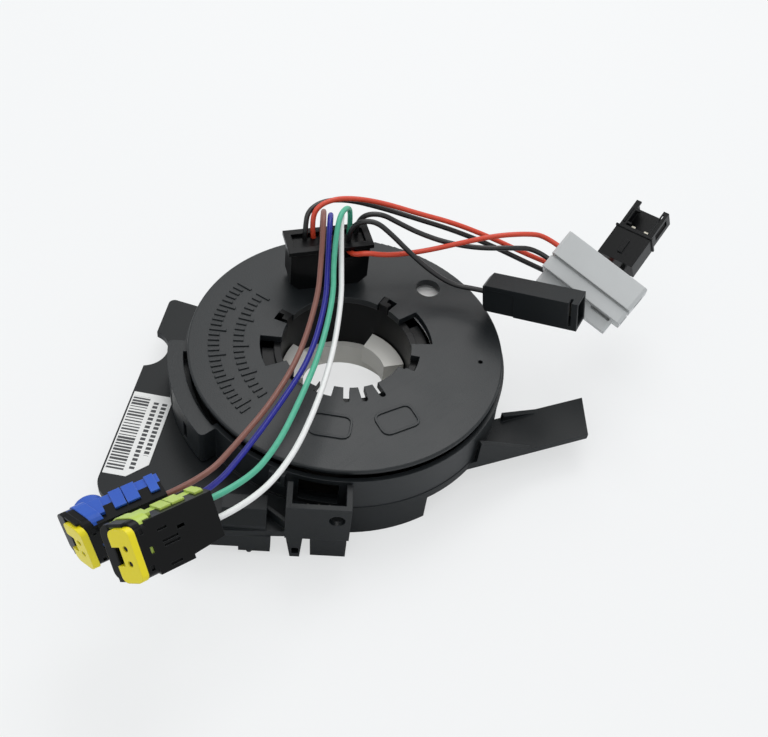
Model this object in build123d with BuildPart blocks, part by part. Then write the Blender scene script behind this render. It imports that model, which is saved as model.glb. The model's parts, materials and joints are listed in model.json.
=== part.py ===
from build123d import *

import math
import os

# Steering column clock spring: a rotor that turns with the steering wheel sits in a
# fixed casing, and a wound flat cable inside joins the leads of the two.
# Millimetres. The origin is on the rotor's axis in the plane of the feet, +Z points
# to the steering wheel and +Y to the block that the leads leave.

os.makedirs("parts", exist_ok=True)

# ---------------------------------------------------------------- driving dimensions
DISC_R = 50.0  # rotor disc
DISC_TOP_Z = 30.0
DISC_T = 2.4
DISC_EDGE_T = 1.3  # thinner outer edge of the disc
DISC_EDGE_W = 2.6
DISC_EDGE_R = 0.6  # rounded edge of the disc
COLUMN_R = 18.6  # bore that the steering column passes through

WALL_T = 1.5  # outer wall of the casing
WALL_OUT = 1.0  # the casing reaches this far beyond the disc
RIM_DROP = 3.8  # from the disc's top down to the casing's rim
SEAM_Z = 13.3  # where the casing stands on the base
SKIRT_T = 1.8

PLATE_Z = 10.0  # underside of the mounting plate and the arm
PLATE_T = 2.5
FOOT_W = 2.0  # radial thickness of the hidden feet

HUB_WALL = 2.2
HUB_BOTTOM_Z = 8.5
HUB_CLEARANCE = 0.4  # running clearance of the hub in the base
COLLAR_T = 2.2
COLLAR_BOTTOM_Z = 2.5

TOWER_W = 26.0
TOWER_D = 9.0
TOWER_H = 17.5
TOWER_Y = 30.7  # centre of the lead block
TOWER_WALL = 1.2

LEAD_D = 1.7

# ---------------------------------------------------------------- derived levels
DISC_BOTTOM_Z = DISC_TOP_Z - DISC_T
RIM_Z = DISC_TOP_Z - RIM_DROP
WALL_OUT_R = DISC_R + WALL_OUT
WALL_IN_R = WALL_OUT_R - WALL_T
DISC_EDGE_IN_R = DISC_R - DISC_EDGE_W
SKIRT_OUT_R = WALL_OUT_R + 0.2
SKIRT_IN_R = SKIRT_OUT_R - SKIRT_T
SKIRT_MID_R = (SKIRT_IN_R + SKIRT_OUT_R) / 2
FLOOR_TOP_Z = PLATE_Z + 2.0
HUB_IN_R = COLUMN_R + 2.2
HUB_OUT_R = HUB_IN_R + HUB_WALL
COLLAR_IN_R = HUB_OUT_R + HUB_CLEARANCE
COLLAR_OUT_R = COLLAR_IN_R + COLLAR_T
PLATE_TOP_Z = PLATE_Z + PLATE_T
TOWER_TOP_Z = DISC_TOP_Z + TOWER_H
LABEL_T = 0.2


def save(builder, name):
    """Label a finished sub-part and write it to its own file."""
    builder.part.label = name
    export_step(builder.part, f"parts/{name}.step")


def sector(inner_r, outer_r, start, end):
    """Face of a ring's sector between two angles in degrees, about the origin."""
    with BuildSketch() as shape:
        with BuildLine():
            outer = CenterArc((0, 0), outer_r, start, end - start)
            inner = CenterArc((0, 0), inner_r, start, end - start)
            Line(outer @ 0, inner @ 0)
            Line(outer @ 1, inner @ 1)
        make_face()
    return shape.sketch


def polar(radius, angle):
    """Point in the XY plane at a radius and an angle in degrees."""
    return (radius * math.cos(math.radians(angle)), radius * math.sin(math.radians(angle)))


def boss(plane, inner_r, outer_r, start, end, height, mode=Mode.ADD):
    """Raise a sector of a ring from a plane, or cut it, within the part being built."""
    with BuildSketch(plane) as footprint:
        add(sector(inner_r, outer_r, start, end))
    extrude(footprint.sketch, amount=height, mode=mode)


# ---------------------------------------------------------------- mounting base
# The lower moulding: a floor with a bearing collar for the hub, a skirt that carries
# the casing, three feet, the mounting plate on the left, the arm on the right and the
# harness socket in front.
FOOT_SECTORS = ((-128, -73), (30, 66), (114, 150))
FLOOR_RIBS = 12
FLOOR_RIB_W = 1.6
FLOOR_RIB_DEPTH = 2.0

# Mounting plate: its straight outer edge runs from TOP_CORNER to LOW_CORNER.
PLATE_TOP_X = 50.2  # from the axis, to the left
PLATE_TOP_Y = 46.4
PLATE_LOW_X = 83.0
PLATE_LOW_Y = 29.5
TOP_CORNER = Vector(-PLATE_TOP_X, PLATE_TOP_Y)
LOW_CORNER = Vector(-PLATE_LOW_X, -PLATE_LOW_Y)
PLATE_ROOT_ANGLE = 133.0  # where the upper end of the plate meets the skirt
PLATE_CORNER_R = 7.0
PLATE_TOP_CORNER_R = 2.0
NOTCH_R = 8.0  # round notch that clears a fixing boss
NOTCH_FROM_CORNER = 24.0  # along the edge
NOTCH_CENTRE_OUT = 2.2  # notch centre outside the edge
EDGE_DIR = (LOW_CORNER - TOP_CORNER).normalized()
EDGE_OUT = Vector(EDGE_DIR.Y, -EDGE_DIR.X)

# The socket's frame: u runs to the left along its front, v points outward.
SOCKET_TURN = -105.0
SOCKET_OUT = 60.5  # front face from the axis
SOCKET_RIGHT = -3.4
SOCKET_LEFT = 15.5
SOCKET_TOP_Z = 25.5
SOCKET_WALL = 1.7
SOCKET_GAP = 0.3  # between the socket and the casing
SOCKET_HOLE_D = 4.8
SOCKET_HOLE_U = 0.6
SOCKET_HOLE_Z = 20.0
SOCKET_FOOT_LEFT = 8.1
SOCKET_FOOT_R = 2.5
LEG_OUTLINE = ((10.2, PLATE_Z), (15.1, PLATE_Z), (13.7, 0.0), (10.8, 0.0))
LEG_T = 2.5
LEG_WINDOW_W = 2.1
LEG_WINDOW_H = 3.0
LEG_WINDOW_U = 12.2
LEG_WINDOW_Z = 3.2
TAB_FROM = 19.6
TAB_TO = 29.0
TAB_BOTTOM_Z = 2.0
TAB_T = 3.1
PIN_U = 25.9
PIN_R = 1.4
PIN_TAPER = 14
FOOT_SET_BACK = 0.8  # the socket's foot stands back from its front wall
FOOT_DRAFT = 0.5
SHELF_TO = 39.0
SHELF_BOTTOM_Z = 4.0
GUIDE_FROM = 21.0
GUIDE_TO = 34.0
GUIDE_IN = 51.5
GUIDE_OUT = 60.0
GUIDE_H = 5.5
GUIDE_SLOPE = 3.6
BRACE_T = 1.4  # slanted brace between the socket and the guide
BRACE_H = 4.0
BRACE_LAP = 0.5
BRACE_SOCKET_V = 59.6
BRACE_GUIDE_V = 54.6

# The arm's frame: x runs to its tip, y towards its upper edge.
ARM_TURN = 6.0
ARM_LOW_Y = -44.2
ARM_W = 14.7
ARM_T = 2.0
ARM_TIP = 69.0
ARM_SKEW = 5.5  # the upper corner of the tip reaches further
ARM_RIB_T = 1.6
ARM_ROOT_LOW = 20.0
ARM_ROOT_HIGH = 35.0
ARM_RIB_ROOT = 25.5
ARM_RIB_START = 28.8  # above the seam, clear of the casing
ARM_RIB_CLEARANCE = 0.3
ARM_RIB_END = 48.5
ARM_RIB_H = 12.0
ARM_LOW_RIB_START = 44.0
ARM_LOW_RIB_END = 57.0
ARM_LOW_RIB_H = 4.6

socket_out = Vector(*polar(1, SOCKET_TURN))
socket_left = Vector(socket_out.Y, -socket_out.X)
socket_origin = socket_out * SOCKET_OUT
socket_face = Plane(origin=socket_origin, x_dir=socket_left, z_dir=-socket_out)
arm_dir = Vector(*polar(1, ARM_TURN))
arm_side = Plane(
    origin=Vector(-arm_dir.Y, arm_dir.X) * ARM_LOW_Y,
    x_dir=arm_dir,
    z_dir=Vector(arm_dir.Y, -arm_dir.X),
)


guide_side = Plane(origin=socket_left * GUIDE_FROM, x_dir=socket_out, z_dir=socket_left)


def socket_level(height):
    """The socket's frame at a height, with x along u and y along v."""
    return Plane(origin=(0, 0, height), x_dir=socket_left, z_dir=(0, 0, 1))


def arm_level(height):
    """The arm's frame at a height."""
    return Plane(origin=(0, 0, height), x_dir=arm_dir, z_dir=(0, 0, 1))


def socket_point(u, v):
    """Point of the socket's frame in the XY plane."""
    point = socket_left * u + socket_out * v
    return (point.X, point.Y)


def edge_point(along, inside):
    """Point of the mounting plate, along its outer edge and in from it."""
    point = TOP_CORNER + EDGE_DIR * along - EDGE_OUT * inside
    return (point.X, point.Y)


POCKET_IN = WALL_OUT_R + SOCKET_GAP
POCKET_OUT = SOCKET_OUT - SOCKET_WALL
FOOT_HOLLOW_IN = SKIRT_OUT_R + 0.8  # the foot is hollow from here to its front wall
FOOT_HOLLOW_OUT = POCKET_OUT - FOOT_SET_BACK
FOOT_HOLLOW_W = SOCKET_FOOT_LEFT - SOCKET_RIGHT - 2 * SOCKET_WALL - 2 * FOOT_DRAFT
POCKET_RIGHT = SOCKET_RIGHT + SOCKET_WALL
POCKET_LEFT = SOCKET_LEFT - SOCKET_WALL

with BuildPart() as mounting_base:
    # Floor, skirt and bearing collar, turned about the axis.
    with BuildSketch(Plane.XZ):
        with BuildLine():
            Polyline(
                (COLLAR_IN_R, COLLAR_BOTTOM_Z),
                (COLLAR_OUT_R, COLLAR_BOTTOM_Z),
                (COLLAR_OUT_R, PLATE_Z),
                (SKIRT_OUT_R, PLATE_Z),
                (SKIRT_OUT_R, SEAM_Z),
                (SKIRT_IN_R, SEAM_Z),
                (SKIRT_IN_R, FLOOR_TOP_Z),
                (COLLAR_OUT_R, FLOOR_TOP_Z),
                (COLLAR_OUT_R, SEAM_Z),
                (COLLAR_IN_R, SEAM_Z),
                close=True,
            )
        make_face()
    revolve(axis=Axis.Z)
    # Ribs under the floor.
    with BuildSketch(Plane.XY.offset(PLATE_Z)):
        with PolarLocations((COLLAR_OUT_R + SKIRT_IN_R) / 2, FLOOR_RIBS):
            Rectangle(SKIRT_IN_R - COLLAR_OUT_R + 1, FLOOR_RIB_W)
    extrude(amount=-FLOOR_RIB_DEPTH)
    # Feet under the skirt.
    for start, end in FOOT_SECTORS:
        boss(Plane.XY, SKIRT_OUT_R - FOOT_W, SKIRT_OUT_R, start, end, PLATE_Z)
    # Mounting plate with its round notch.
    with BuildSketch(Plane.XY.offset(PLATE_Z)) as plate_outline:
        with BuildLine():
            Polyline(
                polar(SKIRT_IN_R, PLATE_ROOT_ANGLE),
                edge_point(0, 0),
                (LOW_CORNER.X, LOW_CORNER.Y),
                socket_point(SHELF_TO + 0.5, SOCKET_OUT + 0.5),
                socket_point(SOCKET_LEFT - 1, SOCKET_OUT - 0.5),
                polar(SKIRT_IN_R, SOCKET_TURN),
                close=True,
            )
        make_face()
        for corner, radius in ((LOW_CORNER, PLATE_CORNER_R), (TOP_CORNER, PLATE_TOP_CORNER_R)):
            nearest = plate_outline.vertices().sort_by_distance((corner.X, corner.Y, 0))[0]
            fillet(nearest, radius)
        with Locations(edge_point(NOTCH_FROM_CORNER, -NOTCH_CENTRE_OUT)):
            Circle(NOTCH_R, mode=Mode.SUBTRACT)
        Circle(SKIRT_MID_R, mode=Mode.SUBTRACT)
    extrude(amount=PLATE_T)
    # Guide boss for the leads on the plate, and a slanted brace beside it.
    with BuildSketch(guide_side):
        with BuildLine():
            Polyline(
                (GUIDE_IN, PLATE_TOP_Z),
                (GUIDE_IN, PLATE_TOP_Z + GUIDE_H),
                (GUIDE_OUT - GUIDE_SLOPE, PLATE_TOP_Z + GUIDE_H),
                (GUIDE_OUT, PLATE_TOP_Z + GUIDE_H - GUIDE_SLOPE),
                (GUIDE_OUT, PLATE_TOP_Z),
                close=True,
            )
        make_face()
    extrude(amount=GUIDE_TO - GUIDE_FROM)
    with BuildSketch(socket_level(PLATE_TOP_Z)):
        with BuildLine():
            Polyline(
                (SOCKET_LEFT - BRACE_LAP, BRACE_SOCKET_V),
                (SOCKET_LEFT - BRACE_LAP, BRACE_SOCKET_V - BRACE_T),
                (GUIDE_FROM + BRACE_LAP, BRACE_GUIDE_V - BRACE_T),
                (GUIDE_FROM + BRACE_LAP, BRACE_GUIDE_V),
                close=True,
            )
        make_face()
    extrude(amount=BRACE_H)
    # Harness socket: three walls round a pocket that opens at the top.
    with BuildSketch(socket_level(PLATE_Z)):
        with Locations(((SOCKET_LEFT + SOCKET_RIGHT) / 2, SOCKET_OUT)):
            Rectangle(SOCKET_LEFT - SOCKET_RIGHT, 2 * (SOCKET_OUT - SKIRT_IN_R + 2 * SKIRT_T))
        with Locations((0, SOCKET_OUT + WALL_OUT_R)):
            Rectangle(4 * SOCKET_LEFT, 2 * WALL_OUT_R, mode=Mode.SUBTRACT)
        Circle(SKIRT_MID_R, mode=Mode.SUBTRACT)
    extrude(amount=SEAM_Z - PLATE_Z)
    with BuildSketch(socket_level(SEAM_Z)):
        with Locations(((SOCKET_LEFT + SOCKET_RIGHT) / 2, (SOCKET_OUT + POCKET_IN) / 2)):
            Rectangle(SOCKET_LEFT - SOCKET_RIGHT, SOCKET_OUT - POCKET_IN)
        with Locations(((POCKET_LEFT + POCKET_RIGHT) / 2, (POCKET_OUT + POCKET_IN) / 2)):
            Rectangle(POCKET_LEFT - POCKET_RIGHT, POCKET_OUT - POCKET_IN, mode=Mode.SUBTRACT)
    extrude(amount=SOCKET_TOP_Z - SEAM_Z)
    # Round hole in the socket's front wall.
    with BuildSketch(socket_face):
        with Locations((SOCKET_HOLE_U, SOCKET_HOLE_Z)):
            Circle(SOCKET_HOLE_D / 2)
    extrude(amount=SOCKET_WALL, mode=Mode.SUBTRACT)
    # Foot under the socket, set back from its front wall, rounded below and hollow.
    with BuildSketch(socket_face.offset(FOOT_SET_BACK)) as foot_face:
        with BuildLine():
            Polyline(
                (SOCKET_RIGHT + FOOT_DRAFT, PLATE_Z),
                (SOCKET_FOOT_LEFT, PLATE_Z),
                (SOCKET_FOOT_LEFT - FOOT_DRAFT, 0),
                (SOCKET_RIGHT + FOOT_DRAFT, 0),
                close=True,
            )
        make_face()
        fillet(foot_face.vertices().sort_by(Axis.Z)[:2], SOCKET_FOOT_R)
    extrude(amount=SOCKET_OUT - FOOT_SET_BACK - SKIRT_MID_R)
    with BuildSketch(socket_level(0)):
        with Locations(((SOCKET_RIGHT + SOCKET_FOOT_LEFT) / 2, (FOOT_HOLLOW_OUT + FOOT_HOLLOW_IN) / 2)):
            Rectangle(FOOT_HOLLOW_W, FOOT_HOLLOW_OUT - FOOT_HOLLOW_IN)
    extrude(amount=PLATE_Z - SOCKET_WALL, mode=Mode.SUBTRACT)
    # Tapered clip leg with its window.
    with BuildSketch(socket_face):
        with BuildLine():
            Polyline(*LEG_OUTLINE, close=True)
        make_face()
        with Locations((LEG_WINDOW_U, LEG_WINDOW_Z)):
            Rectangle(LEG_WINDOW_W, LEG_WINDOW_H, mode=Mode.SUBTRACT)
    extrude(amount=LEG_T)
    # Locating tab with its pin, and the shelf beside it.
    with BuildSketch(socket_face):
        with Locations(((TAB_FROM + TAB_TO) / 2, (TAB_BOTTOM_Z + PLATE_Z) / 2)):
            Rectangle(TAB_TO - TAB_FROM, PLATE_Z - TAB_BOTTOM_Z)
        with Locations(((TAB_TO + SHELF_TO) / 2, (SHELF_BOTTOM_Z + PLATE_Z) / 2)):
            Rectangle(SHELF_TO - TAB_TO, PLATE_Z - SHELF_BOTTOM_Z)
    extrude(amount=TAB_T)
    with BuildSketch(socket_level(TAB_BOTTOM_Z)):
        with Locations((PIN_U, SOCKET_OUT - TAB_T / 2)):
            Circle(PIN_R)
    extrude(amount=-TAB_BOTTOM_Z, taper=PIN_TAPER)
    # Arm: a flat blade with a tall rib along its lower edge and a low one above.
    with BuildSketch(arm_level(PLATE_Z)):
        with BuildLine():
            Polyline(
                (ARM_ROOT_LOW, ARM_LOW_Y),
                (ARM_TIP, ARM_LOW_Y),
                (ARM_TIP + ARM_SKEW, ARM_LOW_Y + ARM_W),
                (ARM_ROOT_HIGH, ARM_LOW_Y + ARM_W),
                close=True,
            )
        make_face()
        Circle(SKIRT_MID_R, mode=Mode.SUBTRACT)
    extrude(amount=ARM_T)
    with BuildSketch(arm_side):
        with BuildLine():
            Polyline(
                (ARM_RIB_ROOT, PLATE_Z),
                (ARM_RIB_ROOT, SEAM_Z - ARM_RIB_CLEARANCE),
                (ARM_RIB_START, SEAM_Z - ARM_RIB_CLEARANCE),
                (ARM_RIB_START, PLATE_Z + ARM_RIB_H),
                (ARM_RIB_END, PLATE_Z + ARM_T),
                (ARM_RIB_END, PLATE_Z),
                close=True,
            )
        make_face()
    extrude(amount=-ARM_RIB_T)
    with BuildSketch(arm_side.offset(-ARM_W)):
        with BuildLine():
            Polyline(
                (ARM_LOW_RIB_START, PLATE_Z),
                (ARM_LOW_RIB_START, PLATE_Z + ARM_LOW_RIB_H),
                (ARM_LOW_RIB_END, PLATE_Z + ARM_T),
                (ARM_LOW_RIB_END, PLATE_Z),
                close=True,
            )
        make_face()
    extrude(amount=ARM_RIB_T)
save(mounting_base, "mounting_base")

# ---------------------------------------------------------------- outer casing
LIP_CLEARANCE = 0.1  # between the casing's lip and the skirt
LIP_T = 1.1
BULGE_START = 165.0
BULGE_END = 207.0
BULGE_OUT = 5.2  # beyond the casing's wall
BULGE_GROOVE_START = 170.0
BULGE_GROOVE_END = 205.5
BULGE_GROOVE_W = 1.8  # outward from the wall's inner face
BULGE_GROOVE_DEPTH = 4.0
BULGE_EDGE_R = 1.5
BULGE_SLOTS = (183.5, 197.0)
BULGE_SLOT_W = 2.4
BULGE_SLOT_DEPTH = 2.5
BULGE_SLOT_BOTTOM_Z = 15.0
BULGE_SLOT_TOP_Z = 22.0
LOOP_ANGLES = (-126.0, 24.0, 114.0)
LOOP_W = 5.0
LOOP_T = 1.6
LOOP_BAR = 1.2
LOOP_BOTTOM_Z = 20.6
LOOP_TOP_Z = 25.6
LOOP_SINK = 0.4  # how deep a loop is rooted in the wall

BULGE_OUT_R = WALL_OUT_R + BULGE_OUT
WINDOW_RIGHT = 0.6  # window in the wall behind the harness socket
WINDOW_LEFT = 12.4
WINDOW_BOTTOM_Z = 15.0
WINDOW_TOP_Z = 24.4
WINDOW_OVERCUT = 3.0  # the cut runs on inside the wall

lip_out_r = SKIRT_IN_R - LIP_CLEARANCE
lip_in_r = lip_out_r - LIP_T

with BuildPart() as outer_casing:
    # Wall, rim and locating lip, turned about the axis.
    with BuildSketch(Plane.XZ):
        with BuildLine():
            Polyline(
                (lip_in_r, FLOOR_TOP_Z),
                (lip_out_r, FLOOR_TOP_Z),
                (lip_out_r, SEAM_Z),
                (WALL_OUT_R, SEAM_Z),
                (WALL_OUT_R, RIM_Z),
                (WALL_IN_R, RIM_Z),
                (WALL_IN_R, SEAM_Z + 0.5),
                (lip_in_r, SEAM_Z + 0.5),
                close=True,
            )
        make_face()
    revolve(axis=Axis.Z)
    # Bulge on the left, with two snap slots.
    with BuildSketch(Plane.XY.offset(SEAM_Z)):
        add(sector((WALL_IN_R + WALL_OUT_R) / 2, BULGE_OUT_R, BULGE_START, BULGE_END))
    bulge = extrude(amount=RIM_Z - SEAM_Z)
    fillet(bulge.edges().filter_by(Axis.Z).sort_by(SortBy.DISTANCE)[-2:], BULGE_EDGE_R)
    with BuildSketch(Plane.XY.offset(BULGE_SLOT_BOTTOM_Z)):
        for angle in BULGE_SLOTS:
            with PolarLocations(BULGE_OUT_R, 1, start_angle=angle):
                Rectangle(2 * BULGE_SLOT_DEPTH, BULGE_SLOT_W)
    extrude(amount=BULGE_SLOT_TOP_Z - BULGE_SLOT_BOTTOM_Z, mode=Mode.SUBTRACT)
    # Groove between the disc's edge and the bulge's top.
    boss(
        Plane.XY.offset(RIM_Z), WALL_IN_R - 1, WALL_IN_R + BULGE_GROOVE_W, BULGE_GROOVE_START,
        BULGE_GROOVE_END, -BULGE_GROOVE_DEPTH, Mode.SUBTRACT,
    )
    # Window behind the harness socket.
    with BuildSketch(socket_face):
        with Locations(((WINDOW_RIGHT + WINDOW_LEFT) / 2, (WINDOW_BOTTOM_Z + WINDOW_TOP_Z) / 2)):
            Rectangle(WINDOW_LEFT - WINDOW_RIGHT, WINDOW_TOP_Z - WINDOW_BOTTOM_Z)
    extrude(amount=SOCKET_OUT - WALL_IN_R + WINDOW_OVERCUT, mode=Mode.SUBTRACT)
    # Snap loops on the wall.
    for angle in LOOP_ANGLES:
        loop_face = Plane(
            origin=(*polar(WALL_OUT_R - LOOP_SINK, angle), 0), x_dir=(0, 0, 1), z_dir=(*polar(1, angle), 0)
        )
        with BuildSketch(loop_face):
            with Locations(((LOOP_BOTTOM_Z + LOOP_TOP_Z) / 2, 0)):
                Rectangle(LOOP_TOP_Z - LOOP_BOTTOM_Z, LOOP_W)
                Rectangle(
                    LOOP_TOP_Z - LOOP_BOTTOM_Z - 2 * LOOP_BAR, LOOP_W - 2 * LOOP_BAR, mode=Mode.SUBTRACT
                )
        extrude(amount=LOOP_T + LOOP_SINK)
save(outer_casing, "outer_casing")

# ---------------------------------------------------------------- label on the plate
LABEL_FROM = 43.0
LABEL_TO = 75.3
LABEL_W = 13.2
LABEL_INSET = 0.6
LABEL_CUT = 5.5  # cut corner

with BuildPart() as label:
    with BuildSketch(Plane.XY.offset(PLATE_TOP_Z)):
        with BuildLine():
            Polyline(
                edge_point(LABEL_FROM, LABEL_INSET),
                edge_point(LABEL_FROM, LABEL_W),
                edge_point(LABEL_TO - LABEL_CUT, LABEL_W),
                edge_point(LABEL_TO, LABEL_W - LABEL_CUT),
                edge_point(LABEL_TO, LABEL_INSET),
                close=True,
            )
        make_face()
    extrude(amount=LABEL_T)
save(label, "label")

# ---------------------------------------------------------------- harness pins
PIN_ROWS = 2
PIN_COLUMNS = 3
PIN_W = 0.64
PIN_H = 4.5
PIN_PITCH = 3.2

with BuildPart() as harness_pins:
    with BuildSketch(socket_level(SEAM_Z)):
        with Locations(((POCKET_LEFT + POCKET_RIGHT) / 2, (POCKET_OUT + POCKET_IN) / 2)):
            with GridLocations(PIN_PITCH, PIN_PITCH * 0.8, PIN_COLUMNS, PIN_ROWS):
                Rectangle(PIN_W, PIN_W)
    extrude(amount=PIN_H)
save(harness_pins, "harness_pins")

# ---------------------------------------------------------------- wound cable and slip sheet
DUST_LIP_T = 1.2  # ring under the disc, inside the casing's wall
DUST_LIP_BOTTOM_Z = 24.6
DUST_LIP_IN_R = DISC_EDGE_IN_R - DUST_LIP_T
RIBBON_GAP = 0.6  # between the wound cable and the dust lip
RIBBON_W = 10.0
RIBBON_OUT_R = DUST_LIP_IN_R - RIBBON_GAP
RIBBON_IN_R = RIBBON_OUT_R - RIBBON_W
RIBBON_H = 13.9
SHEET_T = 0.3
SHEET_IN_R = 28.0

with BuildPart() as ribbon_cable:
    with BuildSketch(Plane.XY.offset(FLOOR_TOP_Z)):
        Circle(RIBBON_OUT_R)
        Circle(RIBBON_IN_R, mode=Mode.SUBTRACT)
    extrude(amount=RIBBON_H)
save(ribbon_cable, "ribbon_cable")

with BuildPart() as slip_sheet:
    with BuildSketch(Plane.XY.offset(FLOOR_TOP_Z + RIBBON_H)):
        Circle(RIBBON_OUT_R)
        Circle(SHEET_IN_R, mode=Mode.SUBTRACT)
    extrude(amount=SHEET_T)
save(slip_sheet, "slip_sheet")

# ---------------------------------------------------------------- rotor disc
OPENING_R = 20.6
FINGER_IN_R = 18.4
FINGERS_FROM = -131.0
FINGERS_TO = -42.0
FINGER_SLOTS = (-104.0, -90.0, -75.5)
FINGER_SLOT_W = 1.9
FINGER_SLOT_R = 24.2  # bottom of the slots
# Each: depth to this radius, from this angle to that one.
DISC_NOTCHES = (
    (22.6, -130.0, -116.0),
    (23.5, -40.0, -24.0),
    (23.5, 204.0, 220.0),
    (27.5, -10.5, 20.7),
    (27.5, 162.7, 190.5),
    (25.2, 35.0, 47.0),
    (25.2, 133.0, 145.0),
)
SIGHT_HOLE_D = 8.0
SIGHT_HOLE_R = 38.5
SIGHT_HOLE_ANGLE = 31.2
PIN_HOLE_D = 1.5
PIN_HOLE_R = 42.8
PIN_HOLE_ANGLE = -20.6
CONTACTS = 9
CONTACT_PITCH = 2.0
CONTACT_W = 1.2
CONTACT_T = 0.5
CONTACT_GAP = 0.3

contact_slot_w = (CONTACTS - 1) * CONTACT_PITCH + CONTACT_W + 2 * CONTACT_GAP

with BuildPart() as rotor_disc:
    with BuildSketch(Plane.XY.offset(DISC_BOTTOM_Z)):
        Circle(DISC_R)
        Circle(OPENING_R, mode=Mode.SUBTRACT)
        add(sector(FINGER_IN_R, OPENING_R + 0.5, FINGERS_FROM, FINGERS_TO))
        for notch_r, start, end in DISC_NOTCHES:
            add(sector(FINGER_IN_R - 1, notch_r, start, end), mode=Mode.SUBTRACT)
        for angle in FINGER_SLOTS:
            with PolarLocations((FINGER_IN_R + FINGER_SLOT_R) / 2 - 1, 1, start_angle=angle):
                SlotOverall(FINGER_SLOT_R - FINGER_IN_R + 2, FINGER_SLOT_W, mode=Mode.SUBTRACT)
        with PolarLocations(SIGHT_HOLE_R, 1, start_angle=SIGHT_HOLE_ANGLE):
            Circle(SIGHT_HOLE_D / 2, mode=Mode.SUBTRACT)
        with PolarLocations(PIN_HOLE_R, 1, start_angle=PIN_HOLE_ANGLE):
            Circle(PIN_HOLE_D / 2, mode=Mode.SUBTRACT)
        with Locations((0, TOWER_Y)):
            Rectangle(contact_slot_w, CONTACT_T + 2 * CONTACT_GAP, mode=Mode.SUBTRACT)
    extrude(amount=DISC_T)
    # Thinner outer edge, rounded above, and a dust lip inside the casing's wall.
    with BuildSketch(Plane.XY.offset(DISC_BOTTOM_Z)):
        Circle(DISC_R + 1)
        Circle(DISC_EDGE_IN_R, mode=Mode.SUBTRACT)
    extrude(amount=DISC_T - DISC_EDGE_T, mode=Mode.SUBTRACT)
    fillet(rotor_disc.faces().sort_by(Axis.Z)[-1].outer_wire().edges(), DISC_EDGE_R)
    with BuildSketch(Plane.XY.offset(DUST_LIP_BOTTOM_Z)):
        Circle(DISC_EDGE_IN_R)
        Circle(DUST_LIP_IN_R, mode=Mode.SUBTRACT)
    extrude(amount=DISC_BOTTOM_Z - DUST_LIP_BOTTOM_Z)
save(rotor_disc, "rotor_disc")

# ---------------------------------------------------------------- rotor hub
HOOK_W = 9.0  # degrees
HOOK_ANGLES = (41.0, 139.0)
HOOK_TOP_Z = 30.8
HOOK_T = 1.9
HOOK_TOE_R = 24.7
HOOK_TOE_W = 4.2  # degrees
LATCH_SPANS = ((-6.0, 15.0), (167.0, 186.0))
LATCH_OUT_R = 26.8
LATCH_BOTTOM_Z = 24.0
LATCH_TOP_Z = 26.4

with BuildPart() as rotor_hub:
    with BuildSketch(Plane.XY.offset(HUB_BOTTOM_Z)):
        Circle(HUB_OUT_R)
        Circle(HUB_IN_R, mode=Mode.SUBTRACT)
    extrude(amount=DISC_BOTTOM_Z - HUB_BOTTOM_Z)
    # Hooks that come up through the disc.
    hook_height = HOOK_TOP_Z - DISC_BOTTOM_Z
    hook_plane = Plane.XY.offset(DISC_BOTTOM_Z)
    for angle in HOOK_ANGLES:
        boss(hook_plane, HUB_IN_R, HUB_IN_R + HOOK_T, angle - HOOK_W / 2, angle + HOOK_W / 2, hook_height)
        toe = angle + HOOK_W / 2 if angle < 90 else angle - HOOK_W / 2 + HOOK_TOE_W
        boss(hook_plane, HUB_IN_R, HOOK_TOE_R, toe - HOOK_TOE_W, toe, hook_height)
    # Latch blocks in the disc's windows.
    for start, end in LATCH_SPANS:
        latch_plane = Plane.XY.offset(LATCH_BOTTOM_Z)
        boss(latch_plane, HUB_IN_R, LATCH_OUT_R, start, end, LATCH_TOP_Z - LATCH_BOTTOM_Z)
save(rotor_hub, "rotor_hub")

# ---------------------------------------------------------------- cancelling cam
CAM_EARS = ((0.0, 48.0), (132.0, 180.0))
CAM_EAR_IN_R = 13.6
CAM_EAR_H = 7.5
CAM_EAR_CLEARANCE = 0.4

with BuildPart() as cancel_cam:
    with BuildSketch():
        Circle(HUB_OUT_R)
        Circle(COLUMN_R, mode=Mode.SUBTRACT)
    extrude(amount=HUB_BOTTOM_Z)
    for start, end in CAM_EARS:
        boss(
            Plane.XY.offset(HUB_BOTTOM_Z), CAM_EAR_IN_R, HUB_IN_R - CAM_EAR_CLEARANCE, start, end, CAM_EAR_H
        )
save(cancel_cam, "cancel_cam")

# ---------------------------------------------------------------- lead block
TOWER_CHAMFER = 3.0
FLANGE_T = 1.5
FLANGE_OUT = 1.0
CAP_DEPTH = 8.0
CAP_SINK = 1.2  # below the block's top
EXIT_X = 6.0  # side exit of one lead
EXIT_W = 3.6
EXIT_BOTTOM_Z = 42.0
EXIT_TOP_Z = 46.0

tower_front_y = TOWER_Y - TOWER_D / 2
tower_front = Plane(origin=(0, tower_front_y, 0), x_dir=(1, 0, 0), z_dir=(0, -1, 0))


def tower_outline(inset):
    """Front outline of the lead block, its lower corners cut, set in by its wall."""
    half_w = TOWER_W / 2 - inset
    with BuildSketch() as outline:
        with BuildLine():
            Polyline(
                (-half_w + TOWER_CHAMFER, DISC_TOP_Z),
                (half_w - TOWER_CHAMFER, DISC_TOP_Z),
                (half_w, DISC_TOP_Z + TOWER_CHAMFER),
                (half_w, TOWER_TOP_Z),
                (-half_w, TOWER_TOP_Z),
                (-half_w, DISC_TOP_Z + TOWER_CHAMFER),
                close=True,
            )
        make_face()
    return outline.sketch


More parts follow.
